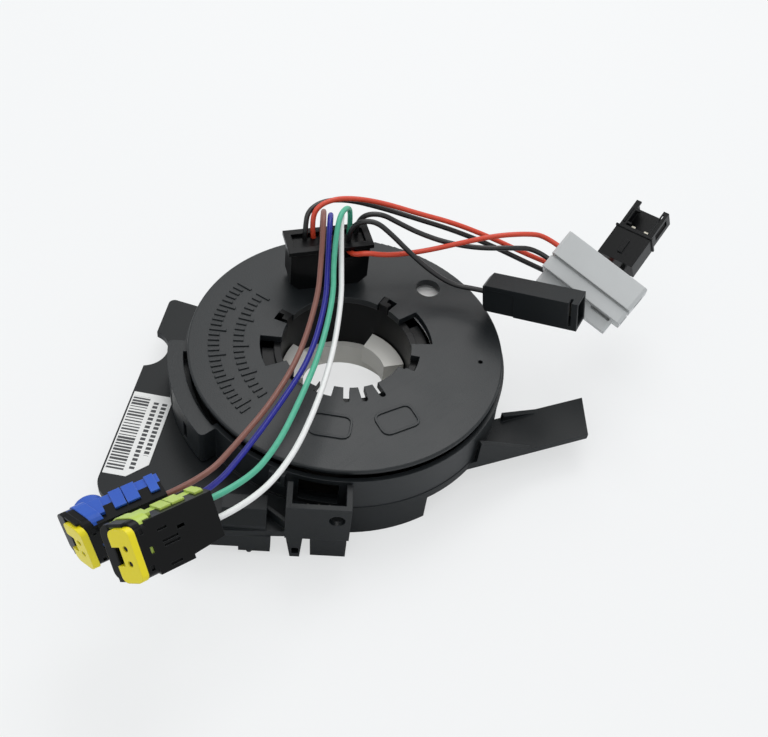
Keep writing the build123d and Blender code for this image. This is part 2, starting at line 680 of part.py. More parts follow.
with BuildPart() as lead_tower:
    with BuildSketch(tower_front):
        add(tower_outline(0))
    extrude(amount=-TOWER_D)
    with BuildSketch(Plane.XY.offset(TOWER_TOP_Z)):
        with Locations((0, TOWER_Y)):
            Rectangle(TOWER_W + 2 * FLANGE_OUT, TOWER_D + 2 * FLANGE_OUT)
    extrude(amount=-FLANGE_T)
    with BuildSketch(tower_front.offset(-TOWER_WALL)):
        add(tower_outline(TOWER_WALL))
    extrude(amount=-(TOWER_D - 2 * TOWER_WALL), mode=Mode.SUBTRACT)
    with BuildSketch(tower_front):
        with Locations((EXIT_X, (EXIT_BOTTOM_Z + EXIT_TOP_Z) / 2)):
            Rectangle(EXIT_W, EXIT_TOP_Z - EXIT_BOTTOM_Z)
    extrude(amount=-TOWER_WALL, mode=Mode.SUBTRACT)
save(lead_tower, "lead_tower")

cap_top_z = TOWER_TOP_Z - CAP_SINK
cap_bottom_z = cap_top_z - CAP_DEPTH

with BuildPart() as tower_cap:
    with BuildSketch(Plane.XY.offset(cap_bottom_z)):
        with Locations((0, TOWER_Y)):
            Rectangle(TOWER_W - 2 * TOWER_WALL, TOWER_D - 2 * TOWER_WALL)
    extrude(amount=CAP_DEPTH)
save(tower_cap, "tower_cap")

CONTACT_BOTTOM_Z = 26.8

with BuildPart() as rotor_contacts:
    with BuildSketch(Plane.XY.offset(CONTACT_BOTTOM_Z)):
        with Locations((0, TOWER_Y)):
            with GridLocations(CONTACT_PITCH, 1, CONTACTS, 1):
                Rectangle(CONTACT_W, CONTACT_T)
    extrude(amount=cap_bottom_z - CONTACT_BOTTOM_Z)
save(rotor_contacts, "rotor_contacts")

# ---------------------------------------------------------------- airbag plugs
# Both have the same housing. In a plug's frame x runs from the leads to the front, y
# from its top edge down and z from the mating side to the cover.
AIRBAG_L = 23.5
AIRBAG_W = 14.3
AIRBAG_T = 9.0
AIRBAG_NOSE_OUT = 3.4  # how much further the mating side reaches at the front
AIRBAG_SPLIT = 3.4  # thickness of the coloured base
AIRBAG_FRONT_X = 18.5  # the front block starts here
AIRBAG_FRONT_R = 2.4  # its corners on the mating side
AIRBAG_STEP_X = 9.0  # the lower edge is set in behind this
AIRBAG_STEP = 1.1
AIRBAG_REAR_TAPER = 2.0
AIRBAG_LIP = 0.7  # how far the front block stands back below the lock
SHELL_T = 0.6  # tabs on the upper edge
SHELL_H = 6.6
HOOD_T = 0.9
HOOD_X = 15.6
HOOD_BOTTOM = 0.8
HOOD_BACK = 1.0
TAB_SPANS = ((1.0, 3.4), (6.2, 9.6), (9.9, 13.0))
NOSE_X = 18.5
NOSE_Y = 5.4
NOSE_R = 4.2
NOSE_BORE_R = 3.0
NOSE_H = 4.2
RECESS_DEPTH = 0.7
# Recesses in the cover: centre x, centre y, length and width.
COVER_RECESSES = (
    (20.0, 2.2, 0.9, 1.5),
    (18.7, 7.6, 0.9, 1.8),
    (20.0, 11.8, 0.9, 1.5),
    (13.5, 6.6, 4.3, 0.6),
    (13.3, 7.8, 4.3, 0.6),
    (14.8, 3.5, 2.6, 0.6),
    (13.9, 12.9, 3.2, 0.7),
)
SIGHT_SLOT = (10.1, 5.0, 2.0, 0.9)  # through the cover, down to the base
LOCK_T = 1.8
LOCK_GAP = 0.1
LOCK_BOTTOM = 2.4
LOCK_OVER = 0.4  # how far the plate stands over the cover
LOCK_CORNER_R = 1.9
LOCK_NOTCH_W = 5.0
LOCK_NOTCH_H = 2.6
LOCK_HOLE_D = 1.6
LOCK_HOLE_PITCH = 4.0
LOCK_HOLE_Z = 6.9
LOCK_LEG_W = 1.8
LOCK_LEG_T = 1.4
LOCK_LEG_L = 8.0
LOCK_LEG_PITCH = 10.0
LOCK_LEG_Z = 6.4
LOCK_LEG_BACK = 1.0  # the legs start inside the plate
LOCK_LEG_TRAVEL = 4.0
LOCK_LEG_CLEARANCE = 0.15

front_slope = AIRBAG_NOSE_OUT / AIRBAG_T
AIRBAG_REACH = AIRBAG_L + AIRBAG_NOSE_OUT
LOCK_BACK = LOCK_T + LOCK_GAP
LOCK_SEAT = LOCK_BOTTOM - LOCK_GAP
LOCK_TOP = AIRBAG_T + LOCK_OVER


def front_x(height, back=0.0):
    """Where a plug's slanted front lies at a height over its mating side."""
    return AIRBAG_REACH - front_slope * height - back


def side_plane(plug, across):
    """Plane of a plug's side view, whose normal runs across the plug."""
    return Plane(
        origin=plug.from_local_coords((0, across, 0)), x_dir=plug.x_dir, z_dir=-plug.y_dir
    )


def front_plane(plug, along):
    """Plane across a plug, with x along its width and y along its thickness."""
    return Plane(
        origin=plug.from_local_coords((along, AIRBAG_W / 2, 0)), x_dir=plug.y_dir, z_dir=plug.x_dir
    )


def airbag_base(plug):
    """Coloured shell with its tabs, hood and mating nose."""
    with BuildPart() as base:
        with BuildSketch(plug):
            with BuildLine():
                Polyline(
                    (0, 0),
                    (AIRBAG_FRONT_X, 0),
                    (AIRBAG_FRONT_X, AIRBAG_W),
                    (AIRBAG_STEP_X, AIRBAG_W),
                    (AIRBAG_STEP_X, AIRBAG_W - AIRBAG_STEP),
                    (0, AIRBAG_W - AIRBAG_REAR_TAPER),
                    close=True,
                )
            make_face()
        extrude(amount=AIRBAG_SPLIT)
        with BuildSketch(plug):
            for start, end in TAB_SPANS:
                with Locations(((start + end) / 2, -SHELL_T / 2)):
                    Rectangle(end - start, SHELL_T)
        extrude(amount=SHELL_H)
        with BuildSketch(side_plane(plug, 0)):
            with BuildLine():
                Polyline(
                    (HOOD_X, HOOD_BOTTOM),
                    (front_x(HOOD_BOTTOM, HOOD_BACK), HOOD_BOTTOM),
                    (front_x(SHELL_H, HOOD_BACK), SHELL_H),
                    (HOOD_X, SHELL_H),
                    close=True,
                )
            make_face()
        extrude(amount=HOOD_T)
        with BuildSketch(plug):
            with Locations((NOSE_X, NOSE_Y)):
                Circle(NOSE_R)
                Circle(NOSE_BORE_R, mode=Mode.SUBTRACT)
        extrude(amount=-NOSE_H)
    return base


def airbag_cover(plug):
    """Black cover and front block, with the slots that the lock's legs run in."""
    with BuildPart() as cover:
        with BuildSketch(side_plane(plug, AIRBAG_W)):
            with BuildLine():
                Polyline(
                    (0, AIRBAG_SPLIT),
                    (AIRBAG_FRONT_X, AIRBAG_SPLIT),
                    (AIRBAG_FRONT_X, AIRBAG_T),
                    (0, AIRBAG_T),
                    close=True,
                )
            make_face()
        extrude(amount=AIRBAG_W)
        # Front block, rounded on the mating side.
        with BuildSketch(front_plane(plug, AIRBAG_FRONT_X)) as block:
            with Locations((0, AIRBAG_T / 2)):
                Rectangle(AIRBAG_W, AIRBAG_T)
            block_axis = Axis(plug.origin, plug.z_dir)
            fillet(block.vertices().sort_by(block_axis)[:2], AIRBAG_FRONT_R)
        extrude(amount=AIRBAG_REACH - AIRBAG_FRONT_X)
        # Slanted front with the lock's seat.
        with BuildSketch(side_plane(plug, AIRBAG_W + 1)):
            with BuildLine():
                Polyline(
                    (front_x(-1, AIRBAG_LIP), -1),
                    (front_x(LOCK_SEAT, AIRBAG_LIP), LOCK_SEAT),
                    (front_x(LOCK_SEAT, LOCK_BACK), LOCK_SEAT),
                    (front_x(AIRBAG_T + 1, LOCK_BACK), AIRBAG_T + 1),
                    (AIRBAG_REACH + 2, AIRBAG_T + 1),
                    (AIRBAG_REACH + 2, -1),
                    close=True,
                )
            make_face()
        extrude(amount=AIRBAG_W + 2, mode=Mode.SUBTRACT)
        # Set-in lower edge.
        with BuildSketch(plug.offset(AIRBAG_SPLIT)):
            with BuildLine():
                Polyline(
                    (0, AIRBAG_W - AIRBAG_REAR_TAPER),
                    (AIRBAG_STEP_X, AIRBAG_W - AIRBAG_STEP),
                    (AIRBAG_STEP_X, AIRBAG_W + 1),
                    (0, AIRBAG_W + 1),
                    close=True,
                )
            make_face()
        extrude(amount=AIRBAG_T, mode=Mode.SUBTRACT)
        # Slots for the lock's legs.
        with BuildSketch(plug.offset(LOCK_LEG_Z - LOCK_LEG_T / 2 - LOCK_LEG_CLEARANCE)):
            with Locations((front_x(AIRBAG_T) - LOCK_LEG_L / 2, AIRBAG_W / 2)):
                with GridLocations(1, LOCK_LEG_PITCH, 1, 2):
                    Rectangle(LOCK_LEG_L + LOCK_LEG_TRAVEL, LOCK_LEG_W + 2 * LOCK_LEG_CLEARANCE)
        extrude(amount=LOCK_LEG_T + 2 * LOCK_LEG_CLEARANCE, mode=Mode.SUBTRACT)
        # Recesses, and the slot that shows the base.
        with BuildSketch(plug.offset(AIRBAG_T)):
            for x, y, length, width in COVER_RECESSES:
                with Locations((x, y)):
                    Rectangle(length, width)
        extrude(amount=-RECESS_DEPTH, mode=Mode.SUBTRACT)
        with BuildSketch(plug.offset(AIRBAG_T)):
            with Locations(SIGHT_SLOT[:2]):
                Rectangle(*SIGHT_SLOT[2:])
        extrude(amount=AIRBAG_SPLIT - AIRBAG_T, mode=Mode.SUBTRACT)
    return cover


def airbag_lock(plug):
    """Yellow lock plate: it pulls out to the front on two legs."""
    with BuildPart() as lock:
        with BuildSketch(side_plane(plug, AIRBAG_W)):
            with BuildLine():
                Polyline(
                    (front_x(LOCK_BOTTOM, LOCK_T), LOCK_BOTTOM),
                    (front_x(LOCK_BOTTOM), LOCK_BOTTOM),
                    (front_x(LOCK_TOP), LOCK_TOP),
                    (front_x(LOCK_TOP, LOCK_T), LOCK_TOP),
                    close=True,
                )
            make_face()
        plate = extrude(amount=AIRBAG_W)
        fillet(plate.edges().filter_by(Axis((0, 0, 0), plug.x_dir)), LOCK_CORNER_R)
        with BuildSketch(front_plane(plug, AIRBAG_REACH + 1)):
            with Locations((0, LOCK_BOTTOM + LOCK_NOTCH_H / 2)):
                Rectangle(LOCK_NOTCH_W, LOCK_NOTCH_H)
            with Locations((0, LOCK_HOLE_Z)):
                with GridLocations(LOCK_HOLE_PITCH, 1, 2, 1):
                    Circle(LOCK_HOLE_D / 2)
        extrude(amount=-AIRBAG_T, mode=Mode.SUBTRACT)
        with BuildSketch(plug.offset(LOCK_LEG_Z - LOCK_LEG_T / 2)):
            with Locations((front_x(LOCK_LEG_Z, LOCK_LEG_BACK) - LOCK_LEG_L / 2, AIRBAG_W / 2)):
                with GridLocations(1, LOCK_LEG_PITCH, 1, 2):
                    Rectangle(LOCK_LEG_L, LOCK_LEG_W)
        extrude(amount=LOCK_LEG_T)
    return lock


green_plug = Plane(
    origin=(-55.8, -59.6, 50.1), x_dir=(-0.925, -0.371, 0.085), z_dir=(0.33, -0.671, 0.664)
)
blue_plug = Plane(
    origin=(-65.1, -51.6, 47.4), x_dir=(-0.963, -0.251, -0.1), z_dir=(0.22, -0.943, 0.249)
)

for colour, plug in (("green", green_plug), ("blue", blue_plug)):
    save(airbag_base(plug), f"{colour}_plug_base")
    save(airbag_cover(plug), f"{colour}_plug_cover")
    save(airbag_lock(plug), f"{colour}_plug_lock")

# ---------------------------------------------------------------- grey two-way plug
GREY_L = 31.5
GREY_TOP_T = 10.5
# Its three slabs side by side: from, to, underside, top, start and end along the plug.
GREY_LATCH = (0.0, 4.7, 1.0, 5.8, 1.0, 29.0)
GREY_LOW = (4.7, 9.2, 0.0, 9.3, 0.0, GREY_L)
GREY_HIGH = (9.9, 18.9, 0.0, GREY_TOP_T, 0.0, GREY_L)
GREY_CHAMFER = 0.9
GREY_WEB_T = 8.4  # joins the low slab and the high one
GREY_CAVITY = 4.2
GREY_CAVITY_DEPTH = 9.0
GREY_CAVITIES = (7.8, 14.6)
GREY_CAVITY_Z = 4.6
GREY_SLOT = (20.5, 28.0)  # slot beside the latch slab
GREY_SLOT_W = 0.9
GREY_SLOT_DEPTH = 2.0

grey_frame = Plane(
    origin=(67.5, 12.45, 34.91), x_dir=(0.596, -0.780, -0.189), z_dir=(-0.382, -0.483, 0.788)
)


def across_plug(frame, along):
    """Plane across a plug's frame, with x along its width and y along its thickness."""
    return Plane(
        origin=frame.from_local_coords((along, 0, 0)), x_dir=frame.y_dir, z_dir=frame.x_dir
    )


with BuildPart() as grey_plug:
    for low_y, high_y, under_z, top_z, start, end in (GREY_LATCH, GREY_LOW, GREY_HIGH):
        with BuildSketch(side_plane(grey_frame, high_y)) as slab:
            with Locations(((start + end) / 2, (under_z + top_z) / 2)):
                Rectangle(end - start, top_z - under_z)
            chamfer(slab.vertices(), GREY_CHAMFER)
        extrude(amount=high_y - low_y)
    with BuildSketch(across_plug(grey_frame, GREY_CHAMFER)):
        with Locations(((GREY_LOW[1] + GREY_HIGH[0]) / 2, GREY_WEB_T / 2)):
            Rectangle(GREY_HIGH[0] - GREY_LOW[1], GREY_WEB_T)
    extrude(amount=GREY_L - 2 * GREY_CHAMFER)
    with BuildSketch(across_plug(grey_frame, GREY_L)):
        with Locations(*[(y, GREY_CAVITY_Z) for y in GREY_CAVITIES]):
            Rectangle(GREY_CAVITY, GREY_CAVITY)
    extrude(amount=-GREY_CAVITY_DEPTH, mode=Mode.SUBTRACT)
    with BuildSketch(grey_frame.offset(GREY_LATCH[3])):
        with Locations((sum(GREY_SLOT) / 2, GREY_LATCH[1] - GREY_SLOT_W / 2)):
            SlotOverall(GREY_SLOT[1] - GREY_SLOT[0], GREY_SLOT_W)
    extrude(amount=-GREY_SLOT_DEPTH, mode=Mode.SUBTRACT)
save(grey_plug, "grey_plug")

# ---------------------------------------------------------------- horn plug
HORN_L = 32.0
HORN_W = 8.4
HORN_T = 10.0
HORN_WALL = 1.0
HORN_DEPTH = 16.0
HORN_REAR_CHAMFER = 1.2
HORN_STEP_L = 11.0  # set-in rear part of the side
HORN_STEP = 0.4
HORN_STEP_TOP = 8.4
HORN_RIM_SLOT_X = 29.6  # slot behind the rim
HORN_RIM_SLOT_W = 0.9
HORN_RIM_SLOT_TURN = 2.6  # how far it runs on over the top
HORN_RIM_SLOT_Z = 1.4

horn_frame = Plane(
    origin=(45.4, 2.6, 34.5), x_dir=(0.739, -0.635, 0.224), z_dir=(-0.092, 0.234, 0.968)
)
horn_rear = Plane(
    origin=horn_frame.from_local_coords((0, HORN_W / 2, HORN_T / 2)),
    x_dir=horn_frame.y_dir,
    z_dir=horn_frame.x_dir,
)

with BuildPart() as horn_plug:
    with BuildSketch(horn_rear):
        Rectangle(HORN_W, HORN_T)
    body = extrude(amount=HORN_L)
    chamfer(body.faces().sort_by(Axis((0, 0, 0), horn_frame.x_dir))[0].edges(), HORN_REAR_CHAMFER)
    with BuildSketch(horn_rear.offset(HORN_L)):
        Rectangle(HORN_W - 2 * HORN_WALL, HORN_T - 2 * HORN_WALL)
    extrude(amount=-HORN_DEPTH, mode=Mode.SUBTRACT)
    # Set-in rear part of the side.
    with BuildSketch(horn_frame):
        with Locations((HORN_STEP_L / 2, 0)):
            Rectangle(HORN_STEP_L, 2 * HORN_STEP)
    extrude(amount=HORN_STEP_TOP, mode=Mode.SUBTRACT)
    # Slot behind the rim, up the side and over the top.
    with BuildSketch(horn_frame.offset(HORN_RIM_SLOT_Z)):
        with Locations((HORN_RIM_SLOT_X, 0)):
            Rectangle(HORN_RIM_SLOT_W, 2 * HORN_WALL)
    extrude(amount=HORN_T, mode=Mode.SUBTRACT)
    with BuildSketch(horn_frame.offset(HORN_T)):
        with Locations((HORN_RIM_SLOT_X, HORN_RIM_SLOT_TURN / 2)):
            Rectangle(HORN_RIM_SLOT_W, HORN_RIM_SLOT_TURN)
    extrude(amount=-HORN_WALL, mode=Mode.SUBTRACT)
save(horn_plug, "horn_plug")

BLADE_W = 4.8
BLADE_T = 0.8
BLADE_L = 14.5

with BuildPart() as horn_terminal:
    with BuildSketch(horn_rear.offset(HORN_L - HORN_DEPTH)):
        Rectangle(BLADE_T, BLADE_W)
    extrude(amount=BLADE_L)
save(horn_terminal, "horn_terminal")

# ---------------------------------------------------------------- remote control plug
REMOTE_BODY_L = 12.6
REMOTE_L = 24.0
REMOTE_W = 13.5
REMOTE_T = 7.0
REMOTE_WALL = 0.8
REMOTE_SET_IN = 0.4  # the cage is set in from the body
REMOTE_COLLAR_L = 0.7
REMOTE_COLLAR_OUT = 0.4
REMOTE_RIB = (3.0, 8.5, 6.0, 7.6)  # raised rib: from x to x, from y to y
REMOTE_RIB_H = 0.5
REMOTE_WINDOW_X = 13.6  # the cage is open on top from here
REMOTE_WINDOW_Y = (2.4, 11.2)
REMOTE_SIDE_WINDOW = (15.0, 22.0, 2.0, 5.2)  # from x to x, from z to z
REMOTE_RAIL_SLOT = (14.6, 22.6)
REMOTE_RAIL_SLOT_W = 0.5
REMOTE_RAIL_SLOT_Y = 1.8
REMOTE_HOOP = (14.8, 20.4)  # small hoop over the cage's edge, from x to x
REMOTE_HOOP_T = 0.7
REMOTE_HOOP_Y = (9.9, 12.3)

remote_frame = Plane(
    origin=(103.46, 9.7, 33.89), x_dir=(0.719, 0.546, 0.430), z_dir=(-0.419, -0.152, 0.895)
)
remote_rear = Plane(
    origin=remote_frame.from_local_coords((0, REMOTE_W / 2, REMOTE_T / 2)),
    x_dir=remote_frame.y_dir,
    z_dir=remote_frame.x_dir,
)
cage_w = REMOTE_W - 2 * REMOTE_SET_IN
cage_t = REMOTE_T - REMOTE_SET_IN

with BuildPart() as remote_plug:
    with BuildSketch(remote_rear):
        Rectangle(REMOTE_W, REMOTE_T)
    extrude(amount=REMOTE_BODY_L)
    with BuildSketch(remote_rear.offset(REMOTE_BODY_L - REMOTE_COLLAR_L)):
        Rectangle(REMOTE_W + 2 * REMOTE_COLLAR_OUT, REMOTE_T + 2 * REMOTE_COLLAR_OUT)
    extrude(amount=REMOTE_COLLAR_L)
    with BuildSketch(remote_rear.offset(REMOTE_BODY_L)):
        with Locations((0, (cage_t - REMOTE_T) / 2)):
            Rectangle(cage_w, cage_t)
            Rectangle(cage_w - 2 * REMOTE_WALL, cage_t - 2 * REMOTE_WALL, mode=Mode.SUBTRACT)
    extrude(amount=REMOTE_L - REMOTE_BODY_L)
    # Open top between two rails, one of them slotted.
    with BuildSketch(remote_frame.offset(REMOTE_T)):
        with Locations(((REMOTE_WINDOW_X + REMOTE_L + 1) / 2, sum(REMOTE_WINDOW_Y) / 2)):
            Rectangle(REMOTE_L + 1 - REMOTE_WINDOW_X, REMOTE_WINDOW_Y[1] - REMOTE_WINDOW_Y[0])
        with Locations((sum(REMOTE_RAIL_SLOT) / 2, REMOTE_RAIL_SLOT_Y)):
            Rectangle(REMOTE_RAIL_SLOT[1] - REMOTE_RAIL_SLOT[0], REMOTE_RAIL_SLOT_W)
    extrude(amount=-(REMOTE_SET_IN + REMOTE_WALL), mode=Mode.SUBTRACT)
    # Window in the cage's side.
    with BuildSketch(Plane(origin=remote_frame.origin, x_dir=remote_frame.x_dir, z_dir=-remote_frame.y_dir)):
        with Locations((sum(REMOTE_SIDE_WINDOW[:2]) / 2, sum(REMOTE_SIDE_WINDOW[2:]) / 2)):
            Rectangle(
                REMOTE_SIDE_WINDOW[1] - REMOTE_SIDE_WINDOW[0], REMOTE_SIDE_WINDOW[3] - REMOTE_SIDE_WINDOW[2]
            )
    extrude(amount=-(REMOTE_SET_IN + REMOTE_WALL), mode=Mode.SUBTRACT)
    # Raised rib on the body, and the hoop over the cage's edge.
    with BuildSketch(remote_frame.offset(REMOTE_T)):
        with Locations((sum(REMOTE_RIB[:2]) / 2, sum(REMOTE_RIB[2:]) / 2)):
            Rectangle(REMOTE_RIB[1] - REMOTE_RIB[0], REMOTE_RIB[3] - REMOTE_RIB[2])
    extrude(amount=REMOTE_RIB_H)
    with BuildSketch(remote_frame.offset(REMOTE_T - REMOTE_SET_IN)):
        with Locations((sum(REMOTE_HOOP) / 2, REMOTE_HOOP_Y[1])):
            Rectangle(REMOTE_HOOP[1] - REMOTE_HOOP[0], REMOTE_HOOP_T)
        with Locations(*[(x, sum(REMOTE_HOOP_Y) / 2) for x in REMOTE_HOOP]):
            Rectangle(REMOTE_HOOP_T, REMOTE_HOOP_Y[1] - REMOTE_HOOP_Y[0] + REMOTE_HOOP_T)
    extrude(amount=-REMOTE_WALL)
    with BuildSketch(remote_frame.offset(REMOTE_T - REMOTE_SET_IN)):
        with Locations((sum(REMOTE_HOOP) / 2, REMOTE_HOOP_Y[1])):
            Rectangle(REMOTE_HOOP[1] - REMOTE_HOOP[0] + REMOTE_HOOP_T, REMOTE_HOOP_T)
    extrude(amount=REMOTE_HOOP_T / 2)
save(remote_plug, "remote_plug")

TIP_PITCH = 5.0
TIP_W = 1.5
TIP_T = 0.6
TIP_L = 3.0

with BuildPart() as remote_contacts:
    with BuildSketch(remote_rear.offset(REMOTE_BODY_L)):
        with GridLocations(TIP_PITCH, 1, 2, 1):
            Rectangle(TIP_W, TIP_T)
    extrude(amount=TIP_L)
save(remote_contacts, "remote_contacts")

# ---------------------------------------------------------------- leads
# Each lead's route from the lead block to its plug, chosen by hand.
LEAD_POINTS = {
    "brown": [
        (-1.7, 33, 46), (-1.7, 33, 56), (-2.6, 29.2, 60.6), (-4, 23.5, 62),
        (-5.2, 18.8, 58), (-6.8, 13, 52.3), (-9.5, 4, 48.3), (-18.4, -14, 44),
        (-30, -29.5, 42.5), (-42.5, -43.5, 44.3), (-52.7, -55.3, 47.3), (-64, -58.2, 46.2),
    ],
    "blue": [
        (1, 33, 46), (1, 33, 54), (-0.2, 29.5, 58.7), (-1.9, 24, 60),
        (-3, 19.3, 56), (-4.4, 13.5, 50.3), (-6.8, 4, 45.8), (-15.4, -14.2, 42),
        (-26.4, -27.5, 40.3), (-39, -42, 39.8), (-51.8, -56.5, 42), (-63.1, -59.4, 40.9),
    ],
    "green": [
        (7.5, 33, 46), (7.5, 33, 55.5), (5, 29.5, 60.8), (1.2, 24, 62.6),
        (-1, 18.8, 58.2), (-2.8, 12.8, 52.4), (-4.8, 3.2, 48), (-12.8, -15.1, 44.8),
        (-22.5, -32, 44.8), (-32.5, -49, 47.6), (-43.1, -61.5, 51.2), (-53.9, -65.8, 52.2),
    ],
    "white": [
        (4.4, 33, 46), (4.4, 33, 53), (3.6, 29.8, 57.8), (2, 24.5, 59.8),
        (1, 19.5, 56), (0, 13.5, 50.3), (-2, 3.8, 46), (-8.8, -14.9, 42.7),
        (-17.8, -33, 42.3), (-29, -51.5, 44.2), (-42, -65, 47.1), (-52.8, -69.3, 48.1),
    ],
    "red_long": [
        (-4.4, 33, 46), (-5, 33.4, 50.8), (-3.6, 36.3, 55.4), (2.2, 38.6, 56.6),
        (10, 39.4, 55.6), (20, 38.2, 53.3), (31.5, 34.5, 50.4), (43, 31.4, 47.6),
        (55.1, 27.1, 43.5), (65.6, 22.4, 39.6), (78, 17.2, 35.5), (92.3, 13.1, 32),
        (97.8, 17.3, 35.3),
    ],
    "black_long": [
        (-7.2, 33, 46), (-7.2, 33.4, 50.6), (-5.6, 37.4, 54), (0.6, 40.8, 54.6),
        (9.2, 41.8, 53), (20, 40, 49.8), (31, 36, 47.2), (43, 31.8, 44.3),
        (55.6, 26.6, 40.4), (67, 20.4, 36.6), (80, 12.4, 33.2), (95, 9, 32.6),
        (100.5, 13.2, 35.9),
    ],
    "red_short": [
        (6, 28.1, 44), (6.2, 23.9, 45.2), (10.4, 21.4, 47.8), (16, 22, 45.6),
        (23.5, 23.4, 43.6), (33, 23.2, 44.4), (42.8, 21, 48.2), (53, 19, 51.6),
        (63.4, 18, 51.9), (71.1, 19.6, 48.6), (75.1, 14.3, 47.4),
    ],
    "black_short": [
        (9.8, 33, 46), (9.8, 33, 50.6), (12.4, 32.4, 54.4), (17.6, 31.4, 54.6),
        (23, 30, 51.4), (30, 27.6, 48), (38.5, 24.2, 45.8), (48.5, 20.4, 45.4),
        (59, 17.6, 46.6), (67.9, 18.1, 44.7), (71.9, 12.9, 43.4),
    ],
    "black_single": [
        (6.4, 29.2, 46), (6.4, 29.2, 50.6), (9.2, 28.8, 54.9), (14.4, 27.3, 55.4),
        (19, 24.4, 52), (24.8, 20.4, 46.6), (31.5, 16.2, 41.2), (38.5, 12.9, 37.3),
        (45.2, 9.1, 38.1), (48.3, 6.4, 39),
    ],
}
BEND_SHARE = 0.45  # of the shorter run beside a bend


def lead(points):
    """Round lead: straight runs joined by the largest bends that they allow."""
    corners = [Vector(*point) for point in points]
    runs = [after - before for before, after in zip(corners, corners[1:])]
    radii = []
    for before, after in zip(runs, runs[1:]):
        half_turn = math.radians(before.get_angle(after)) / 2
        radii.append(BEND_SHARE * min(before.length, after.length) / math.tan(half_turn))
    with BuildPart() as tube:
        with BuildLine() as route:
            FilletPolyline(*corners, radius=radii)
        with BuildSketch(Plane(origin=route.line @ 0, z_dir=route.line % 0)):
            Circle(LEAD_D / 2)
        sweep(path=route.line)
    return tube


for colour, points in LEAD_POINTS.items():
    save(lead(points), f"lead_{colour}")
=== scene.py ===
# %% [markdown]
# # A steering clock spring in a small studio
# A clock spring joins the leads in a steering wheel to the car's harness while the wheel
# turns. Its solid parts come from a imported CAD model, which is loaded as a fixed frame.
# Everything that follows is in the same frame and in metres, so a new piece goes where
# its neighbours are and needs no fitting.

import json
import math

import bmesh
import bpy
from mathutils import Matrix, Quaternion, Vector


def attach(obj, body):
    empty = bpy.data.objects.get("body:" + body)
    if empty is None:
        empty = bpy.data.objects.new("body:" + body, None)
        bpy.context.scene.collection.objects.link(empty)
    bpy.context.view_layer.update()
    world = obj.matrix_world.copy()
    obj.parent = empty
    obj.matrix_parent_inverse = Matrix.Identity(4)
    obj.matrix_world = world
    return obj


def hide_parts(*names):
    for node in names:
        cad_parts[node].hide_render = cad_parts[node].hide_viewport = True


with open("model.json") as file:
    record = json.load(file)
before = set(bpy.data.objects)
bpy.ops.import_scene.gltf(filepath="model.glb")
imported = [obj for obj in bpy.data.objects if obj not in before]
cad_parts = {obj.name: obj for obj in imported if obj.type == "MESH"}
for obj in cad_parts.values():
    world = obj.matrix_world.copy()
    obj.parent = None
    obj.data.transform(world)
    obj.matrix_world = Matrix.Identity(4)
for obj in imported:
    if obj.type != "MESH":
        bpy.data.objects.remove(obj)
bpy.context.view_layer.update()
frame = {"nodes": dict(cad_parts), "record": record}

# %% [markdown]
# A maker of such parts thinks in millimetres and Blender in metres. One function turns
# a point from the first to the second, and is used wherever a size is written.

# %% Millimetres
MM = 0.001


def mm(*values):
    """A point given in millimetres, as a vector in metres."""
    return Vector(values) * MM


print("one millimetre is", MM, "m")

# %% [markdown]
# A camera could be set by typing its angles, but it is easier to say where it stands and
# what it looks at. This one leans a little, so it is turned about its own line of sight
# after it has been aimed. A 50 mm lens close to the part gives a strong perspective.

# %% Camera
CAMERA_AT = (-71.25, -219.28, 278.13)
CAMERA_AIM = (8.93, -12.36, 30.0)
CAMERA_LEAN = 8.36  # degrees
LENS = 50.0  # mm
SENSOR = 36.0
NEAREST_SEEN = 10.0  # mm; Blender's default of 100 mm could cut a small part off

camera_data = bpy.data.cameras.new("studio_camera")
camera_data.lens = LENS
camera_data.sensor_width = SENSOR
camera_data.clip_start = NEAREST_SEEN * MM
camera = bpy.data.objects.new("studio_camera", camera_data)
bpy.context.scene.collection.objects.link(camera)
line_of_sight = mm(*CAMERA_AIM) - mm(*CAMERA_AT)
lean = Quaternion((0, 0, 1), math.radians(CAMERA_LEAN))
camera.location = mm(*CAMERA_AT)
camera.rotation_mode = "QUATERNION"
camera.rotation_quaternion = line_of_sight.to_track_quat("-Z", "Y") @ lean
bpy.context.scene.camera = camera
print("camera distance in mm:", round(line_of_sight.length / MM, 1))

# %% [markdown]
# Nine thin leads leave the block on the disc and end in the plugs. A lead is a round
# PVC sleeve over stranded copper, limp enough to lie in free curves, and stiff enough
# that it never kinks. A NURBS spline of order 3 runs smoothly between its control
# points, where a poly line with rounded corners would look like bent wire.

